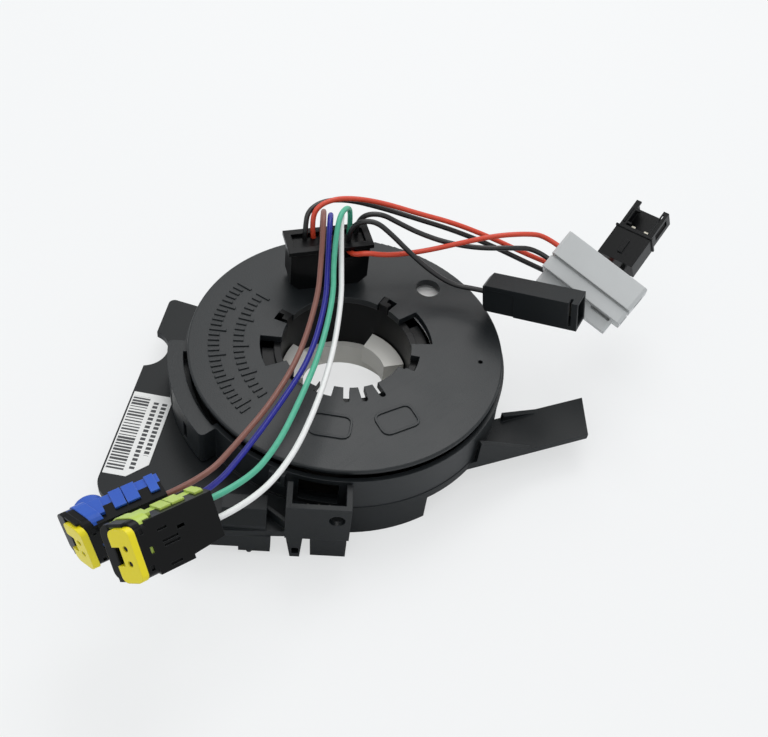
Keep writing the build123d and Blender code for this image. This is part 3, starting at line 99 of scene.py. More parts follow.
# %% Routes of the leads, in millimetres
LEAD_D = 1.7
LEAD_ROUTES = {
    "brown": [
        (-1.7, 33, 46), (-1.7, 33, 56), (-2.6, 29.2, 60.6), (-4, 23.5, 62),
        (-5.2, 18.8, 58), (-6.8, 13, 52.3), (-9.5, 4, 48.3), (-18.4, -14, 44),
        (-30, -29.5, 42.5), (-42.5, -43.5, 44.3), (-52.7, -55.3, 47.3), (-64, -58.2, 46.2),
    ],
    "blue": [
        (1, 33, 46), (1, 33, 54), (-0.2, 29.5, 58.7), (-1.9, 24, 60),
        (-3, 19.3, 56), (-4.4, 13.5, 50.3), (-6.8, 4, 45.8), (-15.4, -14.2, 42),
        (-26.4, -27.5, 40.3), (-39, -42, 39.8), (-51.8, -56.5, 42), (-63.1, -59.4, 40.9),
    ],
    "green": [
        (7.5, 33, 46), (7.5, 33, 55.5), (5, 29.5, 60.8), (1.2, 24, 62.6),
        (-1, 18.8, 58.2), (-2.8, 12.8, 52.4), (-4.8, 3.2, 48), (-12.8, -15.1, 44.8),
        (-22.5, -32, 44.8), (-32.5, -49, 47.6), (-43.1, -61.5, 51.2), (-53.9, -65.8, 52.2),
    ],
    "white": [
        (4.4, 33, 46), (4.4, 33, 53), (3.6, 29.8, 57.8), (2, 24.5, 59.8),
        (1, 19.5, 56), (0, 13.5, 50.3), (-2, 3.8, 46), (-8.8, -14.9, 42.7),
        (-17.8, -33, 42.3), (-29, -51.5, 44.2), (-42, -65, 47.1), (-52.8, -69.3, 48.1),
    ],
    "red_long": [
        (-4.4, 33, 46), (-5, 33.4, 50.8), (-3.6, 36.3, 55.4), (2.2, 38.6, 56.6),
        (10, 39.4, 55.6), (20, 38.2, 53.3), (31.5, 34.5, 50.4), (43, 31.4, 47.6),
        (55.1, 27.1, 43.5), (65.6, 22.4, 39.6), (78, 17.2, 35.5), (92.3, 13.1, 32),
        (97.8, 17.3, 35.3),
    ],
    "black_long": [
        (-7.2, 33, 46), (-7.2, 33.4, 50.6), (-5.6, 37.4, 54), (0.6, 40.8, 54.6),
        (9.2, 41.8, 53), (20, 40, 49.8), (31, 36, 47.2), (43, 31.8, 44.3),
        (55.6, 26.6, 40.4), (67, 20.4, 36.6), (80, 12.4, 33.2), (95, 9, 32.6),
        (100.5, 13.2, 35.9),
    ],
    "red_short": [
        (6, 28.1, 44), (6.2, 23.9, 45.2), (10.4, 21.4, 47.8), (16, 22, 45.6),
        (23.5, 23.4, 43.6), (33, 23.2, 44.4), (42.8, 21, 48.2), (53, 19, 51.6),
        (63.4, 18, 51.9), (71.1, 19.6, 48.6), (75.1, 14.3, 47.4),
    ],
    "black_short": [
        (9.8, 33, 46), (9.8, 33, 50.6), (12.4, 32.4, 54.4), (17.6, 31.4, 54.6),
        (23, 30, 51.4), (30, 27.6, 48), (38.5, 24.2, 45.8), (48.5, 20.4, 45.4),
        (59, 17.6, 46.6), (67.9, 18.1, 44.7), (71.9, 12.9, 43.4),
    ],
    "black_single": [
        (6.4, 29.2, 46), (6.4, 29.2, 50.6), (9.2, 28.8, 54.9), (14.4, 27.3, 55.4),
        (19, 24.4, 52), (24.8, 20.4, 46.6), (31.5, 16.2, 41.2), (38.5, 12.9, 37.3),
        (45.2, 9.1, 38.1), (48.3, 6.4, 39),
    ],
}
print("leads:", len(LEAD_ROUTES))

# %% [markdown]
# Each route belongs to a colour and ends in a plug, and its length is the real one from
# the block to the plug. A lead could be swept as a mesh, but a curve with a round section
# stays light and easy to bend. Its order is set after the points are added, because set
# before, it would fall back to straight runs. The lead's radius is given at the points,
# with a bevel depth of 1 to multiply it, because Blender measures a curve's box from the
# radius of its points alone.

# %% Leads
LEADS = {
    # name: (length in mm, finish, plug at its far end)
    "brown": (131.7, "brown_sleeve", "blue_plug"),
    "blue": (132.2, "blue_sleeve", "blue_plug"),
    "green": (136.0, "green_sleeve", "green_plug"),
    "white": (135.7, "white_sleeve", "green_plug"),
    "red_long": (120.7, "red_sleeve", "remote_plug"),
    "black_long": (127.3, "black_sleeve", "remote_plug"),
    "red_short": (79.3, "red_sleeve", "grey_plug"),
    "black_short": (74.9, "black_sleeve", "grey_plug"),
    "black_single": (59.9, "black_sleeve", "horn_plug"),
}


def lay_lead(name, route):
    """One lead as a single open NURBS spline with a round section."""
    curve = bpy.data.curves.new("sleeve_" + name, "CURVE")
    curve.dimensions = "3D"
    spline = curve.splines.new("NURBS")
    spline.points.add(len(route) - 1)
    for point, place in zip(spline.points, route):
        point.co = (*mm(*place), 1.0)
        point.radius = LEAD_D / 2 * MM
    spline.order_u = 3
    spline.use_endpoint_u = True
    spline.resolution_u = 16
    curve.bevel_depth = 1.0
    curve.bevel_resolution = 5
    curve.use_fill_caps = True
    lead = bpy.data.objects.new("sleeve_" + name, curve)
    bpy.context.scene.collection.objects.link(lead)
    return lead


lead_curves = {}
for name, route in LEAD_ROUTES.items():
    lead = lay_lead(name, route)
    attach(lead, "rotor")
    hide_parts("lead_" + name)
    lead_curves[name] = lead
print("sleeves:", ", ".join(lead_curves))

# %% [markdown]
# Every finish below is a small tree of nodes. Blender wants colours as linear light, and
# people write them as sRGB hex values, so one function turns the second into the first.
# One more adds a node with its settings and its links, which keeps each tree to a few
# lines that read from the pattern to the shader.

# %% Node helpers
def linear(hex_code):
    """An sRGB hex colour as the linear colour that Blender's sockets take."""
    channels = [int(hex_code[i:i + 2], 16) / 255 for i in (1, 3, 5)]
    # The two branches are the sRGB standard's own curve.
    lights = [c / 12.92 if c <= 0.04045 else ((c + 0.055) / 1.055) ** 2.4 for c in channels]
    return (*lights, 1.0)


def add(tree, kind, settings=None, links=None):
    """Add a node, give it its settings, and link what feeds its sockets."""
    node = tree.nodes.new(kind)
    for name, value in (settings or {}).items():
        if isinstance(name, int) or name in node.inputs:
            node.inputs[name].default_value = value
        else:
            setattr(node, name, value)
    for name, source in (links or {}).items():
        tree.links.new(source, node.inputs[name])
    return node


def new_material(name):
    """A material with a bare Principled shader, and its tree and shader."""
    material = bpy.data.materials.new(name)
    material.use_nodes = True
    tree = material.node_tree
    tree.nodes.clear()
    shader = add(tree, "ShaderNodeBsdfPrincipled")
    add(tree, "ShaderNodeOutputMaterial", links={"Surface": shader.outputs["BSDF"]})
    return material, tree, shader


print("dark grey #3b3e42 is", [round(c, 4) for c in linear("#3b3e42")[:3]])

# %% [markdown]
# Nearly all of the part is injection moulded. The steel mould is spark eroded, which
# leaves a fine even grain that scatters the light, and every edge comes out with a tiny
# radius that catches a thin bright line. The grain is a noise in the bump, and the edge
# radius is the Bevel node, which rounds the shading without touching the mesh. Where the
# edge normal turns away from the flat one there is an edge, so the same node also tells
# where to paint the edges a little lighter: a painted highlight, for the light that they
# catch. A slow second noise stands for the flow of the melt, which leaves patches that
# differ slightly in tone and shine.

# %% Moulded plastic
EDGE_RADIUS = 0.35  # mm, the radius that a mould leaves on an edge
FLOW_SIZE = 14.0  # mm, the size of a patch of even tone
FLOW_SHINE = 0.06  # how far the roughness drifts with the flow, up and down
EDGE_MOST_HIGHLIGHT = 0.5  # the share of the painted highlight colour on a sharp edge


def moulded(name, colour, flow_colour, edge_highlight_colour, roughness, gloss, grain, depth):
    """A moulded plastic: its colours, its shine, and the size and depth of its grain in mm."""
    material, tree, shader = new_material(name)
    where = add(tree, "ShaderNodeTexCoord")
    surface = add(tree, "ShaderNodeNewGeometry")
    rounded = add(tree, "ShaderNodeBevel", {"samples": 4, "Radius": EDGE_RADIUS * MM})
    flow = add(tree, "ShaderNodeTexNoise", {"Scale": 1 / (FLOW_SIZE * MM), "Detail": 3.0},
               {"Vector": where.outputs["Object"]})
    spark = add(tree, "ShaderNodeTexNoise", {"Scale": 1 / (grain * MM), "Detail": 2.0},
                {"Vector": where.outputs["Object"]})
    # The dot product of the rounded normal and the flat one is 1 on a face, less on an edge.
    level = add(tree, "ShaderNodeVectorMath", {"operation": "DOT_PRODUCT"},
                {0: rounded.outputs["Normal"], 1: surface.outputs["Normal"]})
    edge = add(tree, "ShaderNodeMapRange",
               {"From Min": 0.995, "From Max": 0.85, "To Max": EDGE_MOST_HIGHLIGHT},
               {"Value": level.outputs["Value"]})
    # The edges get a lighter colour, broken up by the grain: a painted highlight for the light
    # that the edges catch.
    edge_highlight = add(tree, "ShaderNodeMath", {"operation": "MULTIPLY"},
                 {0: edge.outputs["Result"], 1: spark.outputs["Fac"]})
    tone = add(tree, "ShaderNodeMix",
               {"data_type": "RGBA", 6: linear(colour), 7: linear(flow_colour)},
               {0: flow.outputs["Fac"]})
    highlighted = add(tree, "ShaderNodeMix", {"data_type": "RGBA", 7: linear(edge_highlight_colour)},
               {0: edge_highlight.outputs["Value"], 6: tone.outputs[2]})
    shine = add(tree, "ShaderNodeMapRange",
                {"To Min": roughness - FLOW_SHINE, "To Max": roughness + FLOW_SHINE},
                {"Value": flow.outputs["Fac"]})
    relief = add(tree, "ShaderNodeBump", {"Distance": depth * MM},
                 {"Height": spark.outputs["Fac"], "Normal": rounded.outputs["Normal"]})
    tree.links.new(highlighted.outputs[2], shader.inputs["Base Color"])
    tree.links.new(shine.outputs["Result"], shader.inputs["Roughness"])
    tree.links.new(relief.outputs["Normal"], shader.inputs["Normal"])
    shader.inputs["Specular IOR Level"].default_value = gloss
    return material


print("edge radius:", EDGE_RADIUS, "mm, flow patches:", FLOW_SIZE, "mm")

# %% [markdown]
# The mouldings differ only in their plastic and in how their mould was finished, so one
# function makes them all. Each is filed under the name of its slot in the CAD model. The
# numbers are the roughness, the gloss, and the size and depth of the grain in millimetres.

# %% Plastics of the part
# The grain of a spark-eroded mould is about 0.03 mm, finer than a pixel here, so it is
# drawn at 0.3 to 0.5 mm, as coarse as it must be to show.
FINISHES = {
    # Glass-filled black PBT, matt: the base and the horn plug. The glass dulls its gloss.
    "black_moulding": moulded(
        "black_pbt_spark_grain", "#0f1214", "#161a1c", "#555a5e", 0.42, 0.24, 0.45, 0.03),
    # Black PBT from a polished mould, nearly satin: connectors, the lead block, the hub.
    "deep_black_moulding": moulded(
        "deep_black_pbt_satin", "#08090a", "#0f1011", "#44484c", 0.3, 0.14, 0.3, 0.012),
    # Natural POM, a waxy white that does not yellow.
    "white_moulding": moulded(
        "natural_pom", "#e4e2da", "#eeece6", "#f6f5f1", 0.38, 0.5, 0.4, 0.01),
    # Coloured PBT of the plugs.
    "lime_moulding": moulded(
        "lime_pbt", "#b4cf4e", "#c3d968", "#dcea9a", 0.36, 0.4, 0.35, 0.012),
    "yellow_moulding": moulded(
        "yellow_pbt", "#f2de0c", "#f9ea24", "#fff378", 0.36, 0.4, 0.35, 0.012),
    "blue_moulding": moulded(
        "blue_pbt", "#1f4fb6", "#3264c8", "#6c8edc", 0.36, 0.4, 0.35, 0.012),
    "grey_moulding": moulded(
        "light_grey_pbt", "#c3c5c4", "#cfd1d0", "#f0f2f1", 0.4, 0.4, 0.35, 0.012),
}
print("moulded finishes:", len(FINISHES))

# %% [markdown]
# The disc and the casing round it are moulded in the same black plastic as the base, but
# from a mould with a coarser, drier grain. Their colour is a paler copy of the base's black:
# painted light, for the light that falls on the disc and the casing, while the base below
# lies in shade. Fine scuffs from fitting run across them. They could be drawn stroke by
# stroke. A noise that is stretched about twenty times in one direction breaks up into short
# thin strokes by itself, and is enough here.

# %% Grained disc face, painted lighter
SCUFF_L = 9.0  # mm, the length of a scuff
SCUFF_W = 0.35
SCUFF_TURN = 28.0  # degrees
SCUFF_DRYNESS = 0.05  # how much rougher a scuff is

# A paler copy of the base's black, as painted light on the disc and the casing.
FINISHES["painted_light_disc_face"] = moulded(
    "black_pbt_disc_painted_lighter", "#181b1d", "#212527", "#646a6d", 0.38, 0.32, 0.5, 0.04)
tree = FINISHES["painted_light_disc_face"].node_tree
shader = tree.nodes["Principled BSDF"]
where = add(tree, "ShaderNodeTexCoord")
strokes = add(tree, "ShaderNodeMapping",
              {"vector_type": "TEXTURE", "Rotation": (0, 0, math.radians(SCUFF_TURN)),
               "Scale": (SCUFF_L * MM, SCUFF_W * MM, SCUFF_W * MM)},
              {"Vector": where.outputs["Object"]})
scuff = add(tree, "ShaderNodeTexNoise", {"Scale": 1.0, "Detail": 1.0},
            {"Vector": strokes.outputs["Vector"]})
scuffed = add(tree, "ShaderNodeMapRange",
              {"From Min": 0.6, "From Max": 0.75, "To Max": SCUFF_DRYNESS},
              {"Value": scuff.outputs["Fac"]})
shine = shader.inputs["Roughness"].links[0].from_socket
drier = add(tree, "ShaderNodeMath", {"operation": "ADD"},
            {0: shine, 1: scuffed.outputs["Result"]})
tree.links.new(drier.outputs["Value"], shader.inputs["Roughness"])
print("scuffs:", SCUFF_L, "by", SCUFF_W, "mm")

# %% [markdown]
# The terminals are stamped from tinned brass strip. Rolling leaves lines along the strip,
# and stamping keeps them, so the bump is a noise that is stretched along the blade.

# %% Tinned strip
ROLL_LINE_W = 0.2  # mm
ROLL_LINE_L = 4.0

tinned, tree, shader = new_material("tinned_brass_strip")
where = add(tree, "ShaderNodeTexCoord")
along_strip = add(tree, "ShaderNodeMapping",
                  {"vector_type": "TEXTURE",
                   "Scale": (ROLL_LINE_W * MM, ROLL_LINE_W * MM, ROLL_LINE_L * MM)},
                  {"Vector": where.outputs["Object"]})
rolled = add(tree, "ShaderNodeTexNoise", {"Scale": 1.0, "Detail": 2.0},
             {"Vector": along_strip.outputs["Vector"]})
tone = add(tree, "ShaderNodeMix",
           {"data_type": "RGBA", 6: linear("#8c897f"), 7: linear("#a09c91")},
           {0: rolled.outputs["Fac"]})
relief = add(tree, "ShaderNodeBump", {"Distance": 0.01 * MM},
             {"Height": rolled.outputs["Fac"]})
tree.links.new(tone.outputs[2], shader.inputs["Base Color"])
tree.links.new(relief.outputs["Normal"], shader.inputs["Normal"])
shader.inputs["Metallic"].default_value = 1.0
shader.inputs["Roughness"].default_value = 0.36
FINISHES["contact_metal"] = tinned
print("terminals:", tinned.name)

# %% [markdown]
# Inside the casing a flat cable is wound round the hub: copper tracks between two
# polyester films. Its coil shows as fine rings about the axis, one for each turn of film.
# A Wave texture draws rings from the distance to the axis, so no ring has to be modelled.
# Both of its colours are kept dark: painted shade, for the shade inside the casing.

# %% Wound cable
FILM_PITCH = 0.9  # mm from one turn to the next, drawn coarser than the real 0.3 mm
WAVE_AT_ONE = 0.31  # the Scale at which a Wave texture's rings are one unit apart

shaded_cable, tree, shader = new_material("wound_cable_painted_shade")
where = add(tree, "ShaderNodeTexCoord")
turns = add(tree, "ShaderNodeTexWave",
            {"wave_type": "RINGS", "rings_direction": "Z",
             "Scale": WAVE_AT_ONE / (FILM_PITCH * MM)},
            {"Vector": where.outputs["Object"]})
# Two dark browns: the rings of the film, darkened as painted shade inside the casing.
tone = add(tree, "ShaderNodeMix",
           {"data_type": "RGBA", 6: linear("#1f1b17"), 7: linear("#4a3d2c")},
           {0: turns.outputs["Fac"]})
tree.links.new(tone.outputs[2], shader.inputs["Base Color"])
shader.inputs["Roughness"].default_value = 0.4
FINISHES["film_cable"] = shaded_cable
print("turns of film every", FILM_PITCH, "mm")

# %% [markdown]
# The slip sheet above the cable is plain white polyester, smooth and a little milky. A
# slow noise between two near whites is all the haze that it needs.

# %% Slip sheet
HAZE_SIZE = 6.0  # mm

sheet_film, tree, shader = new_material("milky_polyester_film")
where = add(tree, "ShaderNodeTexCoord")
haze = add(tree, "ShaderNodeTexNoise", {"Scale": 1 / (HAZE_SIZE * MM), "Detail": 2.0},
           {"Vector": where.outputs["Object"]})
tone = add(tree, "ShaderNodeMix",
           {"data_type": "RGBA", 6: linear("#eeeeeb"), 7: linear("#f8f8f6")},
           {0: haze.outputs["Fac"]})
tree.links.new(tone.outputs[2], shader.inputs["Base Color"])
shader.inputs["Roughness"].default_value = 0.3
FINISHES["white_film"] = sheet_film
print("slip sheet:", sheet_film.name)

# %% [markdown]
# The label is coated paper with thermal print. Print has no thickness, so it belongs in
# the colour and not in the mesh. A Mapping node of the Texture kind turns the object's
# coordinates into millimetres along the plate's edge and in from it. A Compare node is 1
# near a value and 0 elsewhere, so two of them multiplied cut a rectangle out of the label.

# %% Places on the label
EDGE_START = (-50.2, 46.4)  # mm, the upper end of the plate's straight edge
EDGE_TURN = -113.37  # degrees, the way that the edge runs

label_paper, tree, shader = new_material("thermal_print_paper")
where = add(tree, "ShaderNodeTexCoord")
on_label = add(tree, "ShaderNodeMapping",
               {"vector_type": "TEXTURE", "Location": (*mm(*EDGE_START, 0.0),),
                "Rotation": (0, 0, math.radians(EDGE_TURN)), "Scale": (MM, MM, MM)},
               {"Vector": where.outputs["Object"]})
axes = add(tree, "ShaderNodeSeparateXYZ", links={"Vector": on_label.outputs["Vector"]})
along, inside = axes.outputs["X"], axes.outputs["Y"]


def strip(values, middle, half):
    """1 where a value is within half of the middle, and 0 elsewhere."""
    near = add(tree, "ShaderNodeMath", {"operation": "COMPARE", 1: middle, 2: half},
               {0: values})
    return near.outputs["Value"]


def both(first, second):
    """1 where two masks are."""
    product = add(tree, "ShaderNodeMath", {"operation": "MULTIPLY"}, {0: first, 1: second})
    return product.outputs["Value"]


def either(first, second):
    """1 where one of two masks is."""
    larger = add(tree, "ShaderNodeMath", {"operation": "MAXIMUM"}, {0: first, 1: second})
    return larger.outputs["Value"]


def patch(along_edge, from_edge):
    """1 in a rectangle of the label, given by its middle and half size both ways in mm."""
    return both(strip(inside, *from_edge), strip(along, *along_edge))


print("label starts at", EDGE_START, "mm")

# %% [markdown]
# The print is a field of bars with two rows of dashes beside it. They carry no message.
# Every cell of a fixed pitch holds one bar, and white noise picks how wide it is, so the
# bars look uneven and yet come out the same each time.

# %% Bars and dashes
BAR_PITCH = 1.15  # mm; real bars are finer than a pixel here, so they are drawn coarser
BAR_GAPS = (0.1, 0.36)  # the narrowest and widest gap beside a bar, as a share of the pitch
DASH_PITCH = 1.6
DASH_SHARE = 0.33  # half of what a dash takes of its pitch
# Middle and half size, along the edge and in from it, in mm.
BAR_FIELD = ((59.2, 14.6), (3.7, 2.7))
LONG_ROW = ((59.2, 13.2), (8.6, 0.8))
SHORT_ROW = ((56.4, 10.4), (11.3, 0.8))

cell = add(tree, "ShaderNodeMath", {"operation": "SNAP", 1: BAR_PITCH}, {0: along})
chance = add(tree, "ShaderNodeTexWhiteNoise", {"noise_dimensions": "1D"},
             {"W": cell.outputs["Value"]})
# Ping-pong climbs to half the pitch in the middle of a cell and falls back to 0 at its ends.
inward = add(tree, "ShaderNodeMath", {"operation": "PINGPONG", 1: BAR_PITCH / 2}, {0: along})
gap = add(tree, "ShaderNodeMapRange",
          {"To Min": BAR_PITCH * BAR_GAPS[0], "To Max": BAR_PITCH * BAR_GAPS[1]},
          {"Value": chance.outputs["Value"]})
bar = add(tree, "ShaderNodeMath", {"operation": "GREATER_THAN"},
          {0: inward.outputs["Value"], 1: gap.outputs["Result"]})
dash = add(tree, "ShaderNodeMath", {"operation": "PINGPONG", 1: DASH_PITCH / 2}, {0: along})
dashes = strip(dash.outputs["Value"], 0.0, DASH_PITCH * DASH_SHARE)
rows = either(patch(*LONG_ROW), patch(*SHORT_ROW))
ink = either(both(bar.outputs["Value"], patch(*BAR_FIELD)), both(dashes, rows))
print("bars every", BAR_PITCH, "mm, dashes every", DASH_PITCH, "mm")

# %% [markdown]
# The paper under the print is slightly uneven, as pressed fibres are. One noise gives it
# both its tone and its relief, and the ink is mixed over it by the mask of the print.

# %% Paper and ink
INK = "#2b2d30"
FIBRE_SIZE = 0.6  # mm, drawn coarser than real fibres

fibres = add(tree, "ShaderNodeTexNoise", {"Scale": 1 / (FIBRE_SIZE * MM), "Detail": 3.0},
             {"Vector": where.outputs["Object"]})
paper = add(tree, "ShaderNodeMix",
            {"data_type": "RGBA", 6: linear("#eeeeea"), 7: linear("#f7f7f4")},
            {0: fibres.outputs["Fac"]})
printed = add(tree, "ShaderNodeMix", {"data_type": "RGBA", 7: linear(INK)},
              {0: ink, 6: paper.outputs[2]})
relief = add(tree, "ShaderNodeBump", {"Distance": 0.01 * MM},
             {"Height": fibres.outputs["Fac"]})
tree.links.new(printed.outputs[2], shader.inputs["Base Color"])
tree.links.new(relief.outputs["Normal"], shader.inputs["Normal"])
shader.inputs["Roughness"].default_value = 0.5
FINISHES["paper_label"] = label_paper
print("label:", label_paper.name)

# %% [markdown]
# A sleeve is soft PVC, extruded over the strands. It is smooth but never quite even: the
# strands and the cooling leave a slight waviness, and it shines softly. One tree serves
# all six colours, so a loop fills the colours in.

# %% PVC sleeves
SLEEVE_COLOURS = {
    "brown_sleeve": ("#74463b", "#845246"),
    "blue_sleeve": ("#12148a", "#1b1f9e"),
    "green_sleeve": ("#3fa986", "#56ba9a"),
    "white_sleeve": ("#efefec", "#f8f8f6"),
    "red_sleeve": ("#d03d22", "#e04e33"),
    "black_sleeve": ("#101011", "#19191b"),
}
WAVE_SIZE = 1.6  # mm, the size of the unevenness along a sleeve
WAVE_DEPTH = 0.04

for slot, (colour, pale) in SLEEVE_COLOURS.items():
    sleeve_pvc, tree, shader = new_material(slot.replace("sleeve", "pvc_extruded"))
    where = add(tree, "ShaderNodeTexCoord")
    uneven = add(tree, "ShaderNodeTexNoise", {"Scale": 1 / (WAVE_SIZE * MM), "Detail": 2.0},
                 {"Vector": where.outputs["Object"]})
    tone = add(tree, "ShaderNodeMix",
               {"data_type": "RGBA", 6: linear(colour), 7: linear(pale)},
               {0: uneven.outputs["Fac"]})
    relief = add(tree, "ShaderNodeBump", {"Distance": WAVE_DEPTH * MM},
                 {"Height": uneven.outputs["Fac"]})
    tree.links.new(tone.outputs[2], shader.inputs["Base Color"])
    tree.links.new(relief.outputs["Normal"], shader.inputs["Normal"])
    shader.inputs["Roughness"].default_value = 0.38
    FINISHES[slot] = sleeve_pvc
for name, lead in lead_curves.items():
    lead.data.materials.append(FINISHES[LEADS[name][1]])
print("sleeve colours:", len(SLEEVE_COLOURS))

# %% [markdown]
# Each solid from the CAD model already names a material slot in its record. The finishes
# are filed under the same names, so one loop dresses them all. The disc and the casing
# round it share the paler black, which is painted light, and the horn plug has the finish of
# the base.

# %% Dress the solids
slot_of = {part["node"]: part["material_slot"] for part in frame["record"]["subparts"]}
slot_of.update(rotor_disc="painted_light_disc_face", outer_casing="painted_light_disc_face", horn_plug="black_moulding")
dressed = 0
for node, solid in frame["nodes"].items():
    for material_slot in solid.material_slots:
        material_slot.material = FINISHES[slot_of[node]]
        dressed += 1
print("dressed:", dressed)

# %% [markdown]
# A new piece is shaped in a bmesh and then becomes an object of the scene. Two small
# functions do what every new piece here needs: one bevels the upper edges of a raised
# mark, so that they catch the light, and one cleans the mesh, gives it its finish, and
# says which body it turns with.

# %% From a bmesh to a piece
def piece_from(bm, name, slot, finish):
    """Turn a bmesh into a piece that rides on the rotor."""
    bmesh.ops.remove_doubles(bm, verts=bm.verts, dist=0.001 * MM)
    bmesh.ops.recalc_face_normals(bm, faces=bm.faces)
    mesh = bpy.data.meshes.new(name)
    bm.to_mesh(mesh)
    bm.free()
    mesh.materials.append(finish)
    piece = bpy.data.objects.new(name, mesh)
    bpy.context.scene.collection.objects.link(piece)
    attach(piece, "rotor")
    return piece


def bevel_top(bm, top, width):
    """Bevel the edges that lie wholly at the top of a raised mark."""
    edges = [e for e in bm.edges if min(v.co.z for v in e.verts) > top - 0.01 * MM]
    bmesh.ops.bevel(bm, geom=edges, offset=width * MM, segments=2, profile=0.5,
                    affect="EDGES", material=-1)


print("helpers:", piece_from.__name__, bevel_top.__name__)

# %% [markdown]
# The disc's face carries raised marks. Here they are a plain graduated scale in two arcs,
# and two plain frames. They are cut into the mould half a millimetre deep, so they are
# modelled and not painted. A tick is one cube of the bmesh, stretched and turned to its
# place. It starts a little inside the disc, so that no gap can show under it.

# %% Raised scale on the disc
DISC_TOP = 30.0  # mm
MARK_H = 0.45
MARK_SINK = 0.15
MARK_BEVEL = 0.12
TICK_ARCS = (
    # inner radius, outer radius, first angle, last angle, step, in mm and degrees
    (38.2, 43.6, 132.0, 210.0, 3.0),
    (30.8, 35.8, 132.0, 208.0, 4.0),
)
TICK_W = 0.8
LONG_TICK_EVERY = 5
SHORT_TICK_GAP = 0.35  # the share of the scale's width that a short tick leaves free

mark_top = (DISC_TOP + MARK_H) * MM
mark_middle = DISC_TOP + (MARK_H - MARK_SINK) / 2
ticks = bmesh.new()
for inner, outer, first, last, step in TICK_ARCS:
    count = round((last - first) / step) + 1
    for i in range(count):
        free = 0 if i % LONG_TICK_EVERY == 0 else (outer - inner) * SHORT_TICK_GAP
        start = inner + free
        place = Matrix.Rotation(math.radians(first + i * step), 4, "Z")
        place @= Matrix.Translation(mm((start + outer) / 2, 0, mark_middle))
        place @= Matrix.Diagonal((*mm(outer - start, TICK_W, MARK_H + MARK_SINK), 1))
        bmesh.ops.create_cube(ticks, size=1, matrix=place)
bevel_top(ticks, mark_top, MARK_BEVEL)
disc_scale = piece_from(ticks, "disc_scale", "black_moulding", FINISHES["painted_light_disc_face"])
print("disc_scale faces:", len(disc_scale.data.polygons))

# %% [markdown]
# A plain raised frame could be cut from a solid slab. It is quicker to start from one
# face: its corners are bevelled as points, an inset leaves a rim round it, the middle is
# deleted, and the rim is extruded upwards.

# %% Raised frames on the disc
FRAME_R = 33.7  # mm from the axis to a frame's middle
FRAME_ANGLES = (-112.0, -77.0)
FRAME_SIZE = (9.0, 13.0)
FRAME_CORNER = 2.6
FRAME_RIM = 0.8

frames = bmesh.new()
for angle in FRAME_ANGLES:
    one = bmesh.new()
    bmesh.ops.create_grid(one, x_segments=1, y_segments=1, size=0.5,
                          matrix=Matrix.Diagonal((*mm(*FRAME_SIZE, 1), 1)))
    bmesh.ops.bevel(one, geom=one.verts[:], offset=FRAME_CORNER * MM, segments=3, profile=0.5,
                    affect="VERTICES", material=-1)
    bmesh.ops.inset_region(one, faces=one.faces[:], use_boundary=True,
                           thickness=FRAME_RIM * MM)
    middle = max(one.faces, key=lambda face: face.calc_area())
    bmesh.ops.delete(one, geom=[middle], context="FACES")
    raised = bmesh.ops.extrude_face_region(one, geom=one.faces[:])
    tops = [v for v in raised["geom"] if isinstance(v, bmesh.types.BMVert)]
    bmesh.ops.translate(one, vec=mm(0, 0, MARK_H + MARK_SINK), verts=tops)
    place = Matrix.Rotation(math.radians(angle), 4, "Z")
    place @= Matrix.Translation(mm(FRAME_R, 0, DISC_TOP - MARK_SINK))
    bmesh.ops.transform(one, matrix=place, verts=one.verts)
    placed = bpy.data.meshes.new("one_frame")
    one.to_mesh(placed)
    one.free()
    frames.from_mesh(placed)
    bpy.data.meshes.remove(placed)
bevel_top(frames, mark_top, MARK_BEVEL)
disc_frames = piece_from(frames, "disc_frames", "black_moulding", FINISHES["painted_light_disc_face"])
print("disc_frames faces:", len(disc_frames.data.polygons))

# %% [markdown]
# The two airbag plugs are slanted, which makes it awkward to shape small pieces on them.
# So their front pieces are made in the plug's own millimetres and are then moved by one
# matrix. Its columns are the directions of the plug's length, width and thickness, and
# its last column is the rear corner.

# %% Where the airbag plugs are
AIRBAG_FRAMES = {
    # rear corner in mm, direction of the length, direction of the thickness
    "green": ((-55.8, -59.6, 50.1), (-0.925, -0.371, 0.085), (0.33, -0.671, 0.664)),
    "blue": ((-65.1, -51.6, 47.4), (-0.963, -0.251, -0.1), (0.22, -0.943, 0.249)),
}
AIRBAG_REACH = 26.9  # mm from the rear to the front, on the mating side
AIRBAG_SLOPE = 3.4 / 9.0  # how the front slants back over the thickness


def airbag_matrix(colour):
    """Takes a plug's own millimetres to its place in the frame, in metres."""
    corner, along, thick = AIRBAG_FRAMES[colour]
    thick = Vector(thick).normalized()
    along = Vector(along)
    along = (along - thick * along.dot(thick)).normalized()
    turned = Matrix((along, thick.cross(along), thick)).transposed()
    return Matrix.Translation(mm(*corner)) @ (turned * MM).to_4x4()


green_front = airbag_matrix("green") @ Vector((AIRBAG_REACH, 0, 0))
print("green plug's front in mm:", [round(v / MM, 1) for v in green_front])

# %% [markdown]
# Round its mouth each plug has a black frame with rounded corners, and a coloured hood
# that shows as a thin band behind it. Both follow the slanted front, so both are built
# from one kind of slab. A slab starts as one face whose corners are bevelled as points,
# is extruded, and is turned and sheared by a matrix that puts its depth along the plug.

# %% Slanted slab
SLAB_BEVEL = 0.18  # mm
SHARP_ANGLE = 40.0  # degrees; the facets of a rounded corner meet at less


